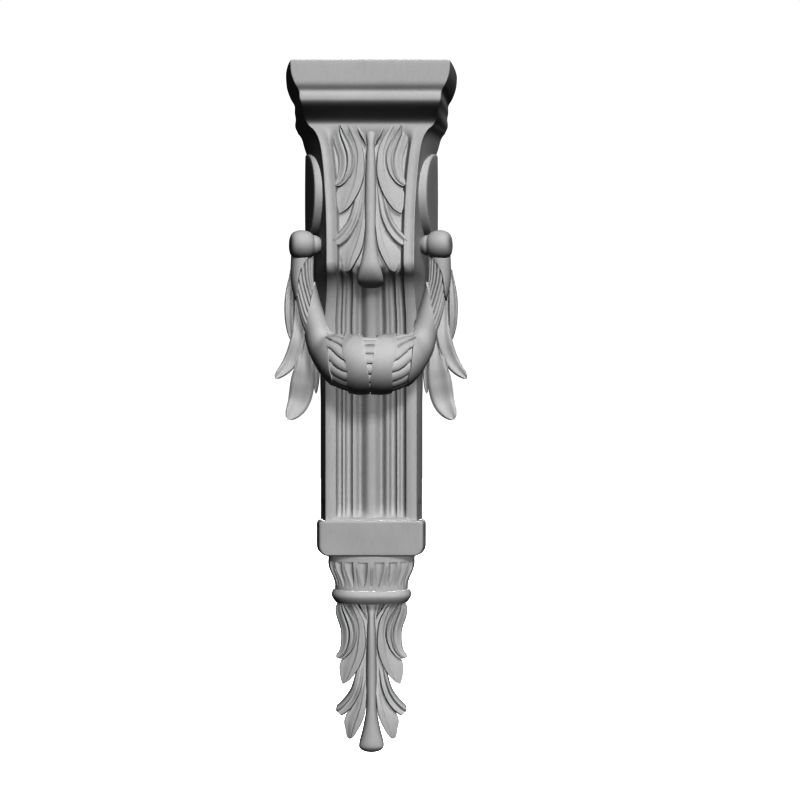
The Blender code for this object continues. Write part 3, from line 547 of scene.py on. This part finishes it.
LOWER_LOBE_OUTER += [(0.765, 0.80), (0.735, 0.84), (0.69, 0.895), (0.615, 0.912)]
LOWER_LOBE_INNER = [(0.08, 0.32), (0.10, 0.50), (0.135, 0.65), (0.18, 0.745)]
LOWER_LOBE_INNER += [(0.26, 0.80), (0.38, 0.855), (0.50, 0.898), (0.615, 0.912)]
LITTLE_BLADE_OUTER = [(0.47, 0.0), (0.34, 0.045), (0.22, 0.085), (0.12, 0.125)]
LITTLE_BLADE_INNER = [(0.24, 0.0), (0.19, 0.045), (0.15, 0.085), (0.12, 0.125)]

# (share from outer to inner edge, height as a share of the leaf's relief)
FLAP_PROFILE = [(0.0, 0.22), (0.07, 0.36), (0.40, 0.60), (0.46, 0.56)]
FLAP_PROFILE += [(0.58, 0.88), (0.72, 0.74), (0.90, 0.92), (1.0, 0.70)]
BLADE_PROFILE = [(0.0, 0.35), (0.10, 0.72), (0.24, 0.86), (0.50, 0.66), (0.85, 0.92), (1.0, 0.68)]
LOBE_PROFILE = [(0.0, 0.34), (0.12, 0.40), (0.60, 0.66), (0.66, 0.80), (0.95, 0.84), (1.0, 0.66)]
LITTLE_PROFILE = [(0.0, 0.40), (0.45, 0.74), (1.0, 0.52)]
TIP_LIFT = 0.50

# outer edge, inner edge, profile, rows along, rows across, and how high the root starts
LEAF_BLADES = [
    (UPPER_BLADE_OUTER, UPPER_BLADE_INNER, FLAP_PROFILE, 44, 30, 1.0),
    (UPPER_LOBE_OUTER, UPPER_LOBE_INNER, LOBE_PROFILE, 44, 24, 1.0),
    (LOWER_BLADE_OUTER, LOWER_BLADE_INNER, BLADE_PROFILE, 44, 24, 0.2),
    (LOWER_LOBE_OUTER, LOWER_LOBE_INNER, LOBE_PROFILE, 48, 24, 0.2),
    (LITTLE_BLADE_OUTER, LITTLE_BLADE_INNER, LITTLE_PROFILE, 14, 10, 1.0),
]
ROOT_CLIMB = 0.40

# (down, half width, height) of the stem
LEAF_STEM = [
    (0.0, 0.185, 0.50),
    (0.06, 0.125, 0.66),
    (0.12, 0.10, 0.82),
    (0.22, 0.125, 0.95),
    (0.45, 0.145, 0.97),
    (0.66, 0.14, 0.96),
    (0.76, 0.17, 0.98),
    (0.86, 0.25, 1.02),
    (0.945, 0.34, 1.04),
    (0.975, 0.31, 0.90),
    (0.993, 0.20, 0.66),
    (1.0, 0.06, 0.45),
]
# (down, half width) of the low ground between the lobes
LEAF_WEB = [(0.002, 0.80), (0.12, 0.62), (0.25, 0.52), (0.36, 0.50), (0.48, 0.30), (0.62, 0.24), (0.76, 0.10)]


def blade_skin(side, outer, inner, profile, steps, across_steps, start, place, root):
    """A closed skin for one blade: its carved face, its walls and its hidden back."""
    grid = []
    for i in range(steps + 1):
        t = 1 - (1 - i / steps) ** 1.5
        a = curve_through(outer, t)
        b = curve_through(inner, t)
        climb = mix(start, 1.0, smooth(t / ROOT_CLIMB))
        row = []
        for k in range(across_steps + 1):
            share = k / across_steps
            lift = climb * mix(eased(profile, share), TIP_LIFT, t**6)
            row.append(place(side * mix(a[0], b[0], share), mix(a[1], b[1], share), lift))
        grid.append(row)
    flat = [[Vector((p.x, root, p.z)) for p in row] for row in grid]
    rings = [row + list(reversed(back)) for row, back in zip(grid, flat)]
    return loft(rings)


def stem_skin(place, root):
    """The rounded stem down the middle, with its bulb at the tip."""
    rings = []
    steps = 56
    across_steps = 16
    for i in range(steps + 1):
        down, half, height = curve_through(LEAF_STEM, i / steps)
        row = []
        for k in range(across_steps + 1):
            angle = math.pi * k / across_steps
            row.append(place(half * math.cos(angle), down, height * (0.45 + 0.55 * math.sin(angle))))
        back = [Vector((p.x, root, p.z)) for p in (row[-1], row[0])]
        rings.append(row + back)
    return loft(rings)


def leaf_skins(width, top, height, relief, ground, root):
    """All skins of one leaf, on a ground whose depth is known at each height."""

    def place(across, down, lift):
        z = top - down * height
        return Vector((across * width / 2, -(ground(z) + lift * relief), z))

    skins = [stem_skin(place, root)]
    for blade in LEAF_BLADES:
        for side in (1, -1):
            skins.append(blade_skin(side, *blade, place, root))
    return skins


# %% [markdown]
# ### Where the two leaves lie
# The panel's leaf follows the swelling face and curls under the console's foot. The pendant has no panel
# behind it, so a thin web of wood joins its lobes, cut flat against the wall like everything else.

# %% Leaf skins

PENDANT_WIDTH, PENDANT_RELIEF, PENDANT_LAP = 0.0640, 0.0112, 0.0018
PANEL_LEAF_WIDTH, PANEL_LEAF_HEIGHT, PANEL_LEAF_RELIEF, PANEL_LEAF_ROOT = 0.0655, 0.1405, 0.0078, 0.018
WEB_THICKNESS, WEB_ROWS = 0.00392, 24
# slope of the panel at its foot, and how fast the leaf's tip bends in under it for each metre of height
FOOT_SLOPE, FOOT_CURL = 0.165, 31.0


def panel_ground(z):
    """The panel's face, carried on past the foot so that the leaf's tip curls under it."""
    foot = LEVEL["console"] + FOOT_ROUND
    below = max(foot - z, 0.0)
    return front_depth(max(z, foot)) - PANEL_SINK + below * (FOOT_SLOPE - below * FOOT_CURL)


def web_skin(top, height):
    """The thin ground behind the pendant's lobes."""
    rings = []
    for i in range(WEB_ROWS + 1):
        down, across = curve_through(LEAF_WEB, i / WEB_ROWS)
        z = top - down * height
        x = across * PENDANT_WIDTH / 2
        corners = ((x, 0.0), (x, WEB_THICKNESS), (-x, WEB_THICKNESS), (-x, 0.0))
        rings.append([Vector((a, -b, z)) for a, b in corners])
    return loft(rings)


panel_leaf = leaf_skins(
    PANEL_LEAF_WIDTH, LEVEL["ogee"], PANEL_LEAF_HEIGHT, PANEL_LEAF_RELIEF, panel_ground, -PANEL_LEAF_ROOT
)
pendant_top = LEVEL["ring"] + PENDANT_LAP
pendant_height = pendant_top - TIP
pendant_leaf = leaf_skins(PENDANT_WIDTH, pendant_top, pendant_height, PENDANT_RELIEF, lambda z: 0.0, 0.0)
pendant_leaf.append(web_skin(pendant_top, pendant_height))

# %% [markdown]
# ## The carved body as one piece
# On the real bracket all of this is one carving. The skins overlap inside the wood, as masses in clay would,
# and the one object stands for the frame's body.

# %% Body

carving = [long_skin(), block_skin(), loft(neck_rows()), loft(ring_rows()), roundel(1), roundel(-1)]
body = piece("carved_body", carving)
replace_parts(body, "bracket_body")
leaf_on_panel = piece("panel_leaf", panel_leaf)
leaf_below = piece("pendant_leaf", pendant_leaf)

# %% [markdown]
# ## Knobs
# The knobs are turned: a short collar that widens from the wall, and an egg-shaped head close over it. A
# lathe profile swept round an axis is the natural way, and the axis stands square on the sloping side wall.

# %% Turned knobs

KNOB_RADIUS, KNOB_LENGTH = 0.0128, 0.0262
KNOB_FOOT_RADIUS, KNOB_COLLAR_RADIUS, KNOB_COLLAR_LENGTH = 0.0066, 0.0089, 0.0050
# the head's outline runs between these angles in degrees, and a power below one blunts it
HEAD_FROM, HEAD_TO, HEAD_BLUNTNESS = -60, 90, 0.48
KNOB_RISE_OVER_FOOT, KNOB_DEPTH, CLEARANCE = 0.0268, 0.0285, 0.0003


def knob_seat(side):
    z = LEVEL["console"] + KNOB_RISE_OVER_FOOT
    wall, lean = side_wall(z, KNOB_DEPTH)
    return Vector((side * wall, -KNOB_DEPTH, z)), Vector((side, -lean, 0)).normalized()


def knob(name, side):
    seat, axis = knob_seat(side)
    # (radius, distance from the wall)
    outline = [(0.0, 0.0)]
    steps = 8
    for i in range(steps + 1):
        radius = mix(KNOB_FOOT_RADIUS, KNOB_COLLAR_RADIUS, math.sin(math.pi / 2 * i / steps))
        outline.append((radius, KNOB_COLLAR_LENGTH * i / steps))
    head = (KNOB_LENGTH - KNOB_COLLAR_LENGTH) / 2
    steps = 23
    for i in range(steps + 1):
        turn = math.radians(mix(HEAD_FROM, HEAD_TO, i / steps))
        along = KNOB_COLLAR_LENGTH + head * (1 + math.sin(turn))
        outline.append((KNOB_RADIUS * max(math.cos(turn), 0.0) ** HEAD_BLUNTNESS, along))
    turn_to = Vector((0, 0, 1)).rotation_difference(axis)
    rings = []
    for radius, along in outline:
        ring = []
        for i in range(64):
            angle = math.tau * i / 64
            spot = Vector((radius * math.cos(angle), radius * math.sin(angle), along + CLEARANCE))
            ring.append(seat + turn_to @ spot)
        rings.append(ring)
    made = piece(name, [loft(rings)])
    return made


for word, side in (("right", 1), ("left", -1)):
    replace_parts(knob("turned_knob_" + word, side), "knob_" + word)

# %% [markdown]
# ## Garland: the line it hangs on
# The garland is a thick bundle of laurel, hung in a U from knob to knob. Its limbs are thin and hang almost
# straight beside the shaft, and it thickens as it turns in, so the belly is more than twice as thick. One
# line of listed places, mirrored, holds the centre and the thickness, and the line swings forward over the
# shaft. Measuring along it first lets ribbons and leaves be laid out in real millimetres.

# %% Centre line

GARLAND_HALF, GARLAND_DROP, GARLAND_RADIUS = 0.0587, 0.1038, 0.0243
LIMB_DEPTH, BELLY_DEPTH, SWING_WIDTH, SWING_POWER = 0.0275, 0.0462, 0.80, 1.5
RIBBON_RISE, LAUREL_RISE, LAUREL_SINK = 0.0013, 0.0020, 0.0015
# (out, down, thickness) from a knob to the bottom, in shares of the half width, the drop and the thickness
GARLAND_LINE = [
    (0.997, 0.06, 0.39), (1.000, 0.27, 0.39), (0.956, 0.42, 0.39), (0.889, 0.57, 0.42), (0.789, 0.72, 0.45),
    (0.690, 0.83, 0.57), (0.518, 0.91, 0.82), (0.290, 0.985, 1.0), (0.0, 1.0, 1.0),
]
# the same line carried on over the middle, so that it runs level through the bottom
OVER_MIDDLE = GARLAND_LINE + [(-out, down, thick) for out, down, thick in GARLAND_LINE[-2::-1]]


def garland_place(t):
    """Centre and thickness at share t of the way from the right knob to the bottom."""
    out, down, thick = curve_through(OVER_MIDDLE, t / 2)
    swing = max(1 - (out / SWING_WIDTH) ** 2, 0.0) ** SWING_POWER
    depth = mix(LIMB_DEPTH, BELLY_DEPTH, swing)
    z = knob_seat(1)[0].z - GARLAND_DROP * down
    return Vector((out * GARLAND_HALF, -depth, z)), thick * GARLAND_RADIUS


SAMPLES = 400
places = [garland_place(1 - i / SAMPLES) for i in range(SAMPLES + 1)]
line = [centre for centre, _ in places]
along = [0.0]
for near, far in zip(line, line[1:]):
    along.append(along[-1] + (far - near).length)
HALF_LENGTH = along[-1]
print("half of the garland is", round(HALF_LENGTH, 4), "m long")


def on_line(a):
    """Centre and tangent at a signed distance from the bottom of the U."""
    want = min(abs(a), HALF_LENGTH - 1e-6)
    i = max(next(k for k, length in enumerate(along) if length > want) - 1, 0)
    f = (want - along[i]) / (along[i + 1] - along[i])
    centre = line[i].lerp(line[i + 1], f)
    ahead = line[min(i + 4, SAMPLES)] - line[max(i - 3, 0)]
    if i < 3:
        ahead = Vector((1, 0, 0)).lerp(ahead.normalized(), 0.5)
    if a < 0:
        centre = Vector((-centre.x, centre.y, centre.z))
        ahead = Vector((ahead.x, -ahead.y, -ahead.z))
    return centre, ahead.normalized()


def bundle_radius(a):
    want = min(abs(a), HALF_LENGTH - 1e-6)
    i = max(next(k for k, length in enumerate(along) if length > want) - 1, 0)
    return places[i][1]


def on_bundle(a, angle, lift):
    """A point on the bundle: angle 0 faces the room, a quarter turn faces down and out."""
    centre, tangent = on_line(a)
    front = Vector((0, -1, 0))
    across = tangent.cross(front).normalized()
    front = across.cross(tangent).normalized()
    return centre + (front * math.cos(angle) + across * math.sin(angle)) * (bundle_radius(a) + lift)


# %% [markdown]
# ## Garland: laurel and ribbon
# The laurel shows as long overlapping strips, so the bundle's skin is scalloped round its girth, and the
# scallops drift slowly round as they run along. The ribbon lies over it in broad flat turns. Each turn is
# its own closed strip with square edges, laid between two slanted edge lines.

# %% Laurel bundle

STRIPS, GIRTH_SPOTS = 16, 216
# radians of turn for each metre of length
TWIST_LIMB, TWIST_BELLY, BELLY_END = 8.0, 2.0, 0.045


def laurel_lift(a, angle):
    twist = TWIST_LIMB * max(abs(a) - BELLY_END, 0.0) - TWIST_BELLY * min(abs(a), BELLY_END)
    place = (angle - twist) * STRIPS / math.tau
    across = 2 * (place - math.floor(place)) - 1
    lean = 0.35 * across
    return LAUREL_RISE * (math.sqrt(max(1 - (across * 0.96) ** 2, 0.0)) - 0.55 + lean) - LAUREL_SINK


def bundle_skin():
    rings = []
    steps = 300
    angles = [math.tau * k / GIRTH_SPOTS for k in range(GIRTH_SPOTS)]
    for i in range(steps + 1):
        a = mix(-HALF_LENGTH, HALF_LENGTH, i / steps)
        rings.append([on_bundle(a, angle, laurel_lift(a, angle)) for angle in angles])
    return loft(rings)


bundle = piece("laurel_bundle", [bundle_skin()], sharp=50.0)
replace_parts(bundle, "garland")

# %% Ribbon turns

# Edges of each turn in metres from the bottom of the U, at five places from the bundle's upper side over the
# front to its lower side, and how many quarter turns the ribbon reaches round
RIBBON_TURNS = [
    ((0.0080, 0.0035, 0.0015, 0.0006, 0.0006), (0.0395, 0.0285, 0.0130, 0.0120, 0.0140), 1.98),
    ((0.0690, 0.0595, 0.0325, 0.0210, 0.0225), (0.1060, 0.0975, 0.0820, 0.0675, 0.0620), 1.55),
    ((0.1315, 0.1300, 0.1195, 0.0990, 0.0930), (0.1480, 0.1460, 0.1440, 0.1385, 0.1330), 1.40),
]


def edge_at(edge, quarters):
    """An edge's place at a turn round the bundle, by a smooth curve through its five places."""
    return curve_through([(place,) for place in edge], (quarters + 1) / 2)[0]


def ribbon_skin(side, near, far, reach):
    """One turn of ribbon, reaching this many quarter turns to each side of the front."""
    rings = []
    steps = 90
    across_steps = 16
    for i in range(steps + 1):
        quarters = mix(-reach, reach, i / steps)
        angle = quarters * math.pi / 2
        tuck = RIBBON_RISE * 2.2 * smooth((abs(quarters) - reach + 0.35) / 0.35)
        start = edge_at(near, quarters)
        end = edge_at(far, quarters)
        face = []
        back = []
        for k in range(across_steps + 1):
            share = k / across_steps
            a = side * min(mix(start, end, share), HALF_LENGTH - 0.0005)
            crown = RIBBON_RISE * (1.0 - 0.35 * (2 * share - 1) ** 2)
            face.append(on_bundle(a, angle, crown - tuck))
            back.append(on_bundle(a, angle, -RIBBON_RISE * 2 - tuck))
        rings.append(face + back[::-1])
    return loft(rings)


ribbon = piece("ribbon", [ribbon_skin(side, *turn) for turn in RIBBON_TURNS for side in (1, -1)], sharp=30.0)

# %% [markdown]
# ## Leaf sprays
# Behind each limb a spray of long leaves falls along the shaft's side. Each leaf is a spine with a width
# and a slight hollow down its middle, and its tip curls forward, so it catches the light at the end.

# %% Spray leaves

SPRAY_REACH, SPRAY_DROP, SPRAY_DEPTH, SPRAY_THICKNESS = 0.0385, 0.1510, 0.0150, 0.0050
SHAFT_SIDE = 0.0453
# each leaf's half width as a share of the spray's reach, and its spine as (out from the shaft's side, down
# from the knob, forward) in shares of the spray's reach, drop and depth
SPRAY_LEAVES = [
    (0.105, [(0.62, 0.13, 0.6), (0.68, 0.26, 0.9), (0.69, 0.40, 1.0), (0.65, 0.54, 0.8)]),
    (0.175, [(0.52, 0.24, 0.4), (0.47, 0.4, 0.7), (0.49, 0.54, 1.05), (0.68, 0.67, 1.1), (0.99, 0.763, 1.5)]),
    (0.075, [(0.31, 0.40, 0.6), (0.43, 0.60, 1.0), (0.56, 0.73, 1.2)]),
    (0.275, [(0.28, 0.41, 0.5), (0.32, 0.66, 1.05), (0.38, 0.78, 1.05), (0.48, 0.90, 0.95), (0.7, 1.0, 1.5)]),
    (0.086, [(0.16, 0.33, 0.4), (0.08, 0.60, 0.6), (0.09, 0.85, 0.6)]),
]
WIDEST = 0.52
# (down, out, forward) shares of the block behind the leaves
SPRAY_ROOT = [(0.24, 0.36, 0.5), (0.40, 0.64, 0.9), (0.62, 0.24, 0.8)]


def leaf_width(t):
    """A leaf's width at share t of its spine: narrow at the root, broad below, with a round tip."""
    if t < WIDEST:
        return mix(0.55, 1.0, smooth(t / WIDEST))
    return max(1 - ((t - WIDEST) / (1.0 - WIDEST)) ** 2.4, 0.0) ** 0.55


def spray_skin(side, half_share, spine):
    """One leaf: two low ridges with a hollow between them, and a rounded back."""
    knob_z = knob_seat(side)[0].z
    half_width = half_share * SPRAY_REACH
    points = [
        (SHAFT_SIDE + out * SPRAY_REACH, knob_z - down * SPRAY_DROP, SPRAY_DEPTH * depth)
        for out, down, depth in spine
    ]
    rings = []
    steps = 40
    for i in range(steps + 1):
        t = i / steps
        x, z, depth = curve_through(points, t)
        back_x, back_z, _ = curve_through(points, t - 0.02)
        next_x, next_z, _ = curve_through(points, t + 0.02)
        ahead = Vector((next_x - back_x, 0, next_z - back_z)).normalized()
        across = Vector((-ahead.z, 0, ahead.x))
        half = half_width * max(leaf_width(t), 0.03)
        thick = SPRAY_THICKNESS * (1 - 0.5 * t)
        ring = []
        for k in range(17):
            share = k / 8 - 1
            rim = math.sqrt(max(1 - share**2, 0.0))
            hollow = max(1 - (share / 0.75) ** 2, 0.0) ** 1.5
            ring.append((share, 0.30 + 0.85 * rim**0.8 - 0.55 * hollow))
        for k in range(1, 8):
            share = 1 - k / 4
            ring.append((share, -0.5 * (1 - share * share) ** 0.5))
        spots = [Vector((x, -depth, z)) + across * half * u + Vector((0, -thick * v, 0)) for u, v in ring]
        rings.append([Vector((side * spot.x, min(spot.y, 0.0), spot.z)) for spot in spots])
    return loft(rings)


def spray_root_skin(side):
    """The carved block behind the leaves, against the side of the shaft."""
    knob_z = knob_seat(side)[0].z
    edge = SHAFT_SIDE + CLEARANCE
    rings = []
    for i in range(13):
        down, out, depth = curve_through(SPRAY_ROOT, i / 12)
        near = SPRAY_DEPTH * depth
        ring = []
        for k in range(9):
            angle = math.pi / 2 * k / 8
            ring.append((edge + out * SPRAY_REACH * math.cos(angle), near * math.sin(angle)))
        ring.append((edge, 0.0))
        rings.append([Vector((side * x, -d, knob_z - down * SPRAY_DROP)) for x, d in ring])
    return loft(rings)


for word, side in (("right", 1), ("left", -1)):
    leaves = [spray_skin(side, half, spine) for half, spine in SPRAY_LEAVES]
    made = piece("side_leaves_" + word, leaves + [spray_root_skin(side)])
    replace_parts(made, "leaf_spray_" + word)

# %% [markdown]
# ## Shader maths as expressions
# The paint needs a little arithmetic between textures. Wrapping a socket in a class with operators lets
# that be written as sums, and each operator adds the Math node that does it. Colours go through a colour
# ramp.

# %% Shader helpers


class Field:
    """A shader value that can be used in sums."""

    def __init__(self, nodes, socket):
        self.nodes = nodes
        self.socket = socket

    def math(self, operation, other):
        return self.nodes.add("ShaderNodeMath", {"operation": operation}, {0: self, 1: other})

    def __add__(self, other):
        return self.math("ADD", other)

    def __radd__(self, other):
        return self.math("ADD", other)

    def __sub__(self, other):
        return self.math("SUBTRACT", other)

    def __rsub__(self, other):
        return self.nodes.add("ShaderNodeMath", {"operation": "SUBTRACT"}, {0: other, 1: self})

    def __mul__(self, other):
        return self.math("MULTIPLY", other)

    def __rmul__(self, other):
        return self.math("MULTIPLY", other)


class Nodes:
    """Adds nodes to one material."""

    def __init__(self, material):
        self.tree = material.node_tree

    def add(self, kind, settings=None, inputs=None, output=0):
        node = self.tree.nodes.new(kind)
        for key, value in (settings or {}).items():
            if key == "stops":
                for stop, (place, colour) in zip(self.stops(node, len(value)), value):
                    stop.position = place
                    stop.color = (*colour, 1.0)
            else:
                setattr(node, key, value)
        for key, value in (inputs or {}).items():
            if isinstance(value, Field):
                self.tree.links.new(value.socket, node.inputs[key])
            else:
                node.inputs[key].default_value = value
        return Field(self, node.outputs[output])

    def stops(self, node, count):
        ramp = node.color_ramp
        while len(ramp.elements) < count:
            ramp.elements.new(1.0)
        return ramp.elements


# %% [markdown]
# ## Satin paint over carved wood
# The real finish is a mid grey satin paint, brushed on along the grain. Three things keep it from being one
# flat colour: broad patches where the coat is thicker, fine streaks that follow the grain under it, and a
# lighter, smoother polish on the arrises that hands and dusters reach. The colour is also darkened in the
# hollows, which is painted shade. The streaks also dent the surface by a hair, which breaks the highlight.

# %% Paint

# the range of surface bend over which an arris is polished, and over which a hollow is darkened as painted
# shade
EDGE_BEND, HOLLOW_SHADE_BEND = (0.515, 0.60), (0.485, 0.42)


def satin_paint(name, tone, roughness, grain_axis=(60.0, 60.0, 7.0)):
    material = bpy.data.materials.new(name)
    material.use_nodes = True
    nodes = Nodes(material)
    shader = material.node_tree.nodes["Principled BSDF"]
    place = nodes.add("ShaderNodeTexCoord", output="Object")
    patches = nodes.add("ShaderNodeTexNoise", {}, {"Vector": place, "Scale": 22.0, "Detail": 4.0})
    size = tuple(1 / k for k in grain_axis)
    stretched = nodes.add("ShaderNodeMapping", {"vector_type": "TEXTURE"}, {"Vector": place, "Scale": size})
    streaks = {"Vector": stretched, "Scale": 14.0, "Detail": 6.0, "Roughness": 0.6}
    grain = nodes.add("ShaderNodeTexNoise", {}, streaks)
    specks = nodes.add("ShaderNodeTexNoise", {}, {"Vector": place, "Scale": 900.0, "Detail": 2.0})
    bend = nodes.add("ShaderNodeNewGeometry", output="Pointiness")
    edge, hollow = (
        nodes.add("ShaderNodeMapRange", {}, {"Value": bend, "From Min": start, "From Max": end})
        for start, end in (EDGE_BEND, HOLLOW_SHADE_BEND)
    )
    # subtracting the hollow mask darkens creases and recesses in the colour: this is painted shade
    shade = 0.5 + (patches - 0.5) * 0.35 + (grain - 0.5) * 0.22 + edge * 0.12 - hollow * 0.18
    dark = tuple(tone * k for k in (0.86, 0.86, 0.865))
    light = tuple(tone * k for k in (1.12, 1.12, 1.115))
    colour = nodes.add("ShaderNodeValToRGB", {"stops": [(0.25, dark), (0.75, light)]}, {"Fac": shade})
    material.node_tree.links.new(colour.socket, shader.inputs["Base Color"])
    rough = roughness + (patches - 0.5) * 0.16 - edge * 0.06 + (specks - 0.5) * 0.05
    material.node_tree.links.new(rough.socket, shader.inputs["Roughness"])
    height = grain * 0.6 + specks * 0.25
    bump = nodes.add("ShaderNodeBump", {}, {"Strength": 0.10, "Distance": 0.0006, "Height": height})
    material.node_tree.links.new(bump.socket, shader.inputs["Normal"])
    shader.inputs["Specular IOR Level"].default_value = 0.18
    return material


body_paint = satin_paint("body_paint_fine", 0.36, 0.68)
garland_paint = satin_paint("garland_paint_fine", 0.37, 0.66, (40.0, 40.0, 40.0))
knob_paint = satin_paint("knob_paint_fine", 0.36, 0.66, (7.0, 60.0, 60.0))
spray_paint = satin_paint("spray_paint_fine", 0.36, 0.67)
for made in bpy.data.objects:
    if made.name in ("carved_body", "panel_leaf", "pendant_leaf"):
        made.data.materials.append(body_paint)
    elif made.name in ("laurel_bundle", "ribbon"):
        made.data.materials.append(garland_paint)
    elif made.name.startswith("turned_knob"):
        made.data.materials.append(knob_paint)
    elif made.name.startswith("side_leaves"):
        made.data.materials.append(spray_paint)

# %% [markdown]
# ## Stage, light and camera
# The bracket is shown alone on a white ground, lit by one big soft light in front, a little to the right and
# well above, so the left sides and the undersides fall into shade. Part of it casts no shadow, which keeps
# the hollows open. A light from behind reaches only the flat back. The white dome is seen by the camera and
# doesn't light the carving, and the pale floor lies well below the pendant.

# %% Stage


def plain_material(name, colour, glow=0.0):
    material = bpy.data.materials.new(name)
    material.use_nodes = True
    shader = material.node_tree.nodes["Principled BSDF"]
    shader.inputs["Base Color"].default_value = (*colour, 1.0)
    shader.inputs["Roughness"].default_value = 0.9
    shader.inputs["Emission Color"].default_value = (1.0, 1.0, 1.0, 1.0)
    shader.inputs["Emission Strength"].default_value = glow
    return material


FLOOR_DROP = 0.12
floor_shape = bmesh.new()
bmesh.ops.create_circle(floor_shape, cap_ends=True, segments=96, radius=6.0)
floor_mesh = bpy.data.meshes.new("floor")
floor_shape.to_mesh(floor_mesh)
floor_shape.free()
floor = bpy.data.objects.new("floor", floor_mesh)
floor.location.z = TIP - FLOOR_DROP
floor_mesh.materials.append(plain_material("pale_floor", (0.9, 0.9, 0.9), 1.0))
dome_shape = bmesh.new()
bmesh.ops.create_uvsphere(dome_shape, u_segments=64, v_segments=32, radius=6.0)
dome_mesh = bpy.data.meshes.new("dome")
dome_shape.to_mesh(dome_mesh)
dome_shape.free()
dome = bpy.data.objects.new("dome", dome_mesh)
dome_mesh.materials.append(plain_material("white_ground", (0.0, 0.0, 0.0), 1.0))
for made in (floor, dome):
    bpy.context.scene.collection.objects.link(made)
    made.visible_diffuse = False
    made.visible_glossy = False
    made.visible_shadow = False

# %% Light and camera

KEY_RIGHT = math.radians(13)
KEY_UP = math.radians(31)
KEY_SOFTNESS = math.radians(14)
LEVEL_OUT = math.cos(KEY_UP)
KEY = Vector((math.sin(KEY_RIGHT) * LEVEL_OUT, -math.cos(KEY_RIGHT) * LEVEL_OUT, math.sin(KEY_UP)))
FROM_BEHIND = Vector((0.0, 1.0, 0.1))


def far_light(name, toward, strength, shadow):
    """A broad light so far off that the top and the tip of the bracket are lit alike."""
    lamp = bpy.data.lights.new(name, "SUN")
    lamp.energy = strength
    lamp.angle = KEY_SOFTNESS
    lamp.use_shadow = shadow
    made = bpy.data.objects.new(name, lamp)
    made.rotation_euler = (-toward).to_track_quat("-Z", "Y").to_euler()
    bpy.context.scene.collection.objects.link(made)


far_light("key", KEY, 2.1, True)
far_light("key_wash", KEY, 4.1, False)
far_light("back_light", FROM_BEHIND, 3.0, False)
world = bpy.data.worlds.new("studio")
world.use_nodes = True
world.node_tree.nodes["Background"].inputs["Color"].default_value = (1.0, 1.0, 1.0, 1.0)
world.node_tree.nodes["Background"].inputs["Strength"].default_value = 0.12
bpy.context.scene.world = world
bpy.context.scene.view_settings.view_transform = "Standard"
bpy.context.scene.view_settings.gamma = 0.47

# The camera stands square to the wall, a little right of the centre line and just above half height
CAMERA_PLACE = Vector((0.0253, -1.156, 0.0118))
CAMERA_LENS = 58.5
camera_data = bpy.data.cameras.new("camera")
camera_data.lens = CAMERA_LENS
camera_data.sensor_width = 36.0
camera = bpy.data.objects.new("camera", camera_data)
camera.location = CAMERA_PLACE
camera.rotation_euler = (math.pi / 2, 0, 0)
bpy.context.scene.collection.objects.link(camera)
bpy.context.scene.camera = camera
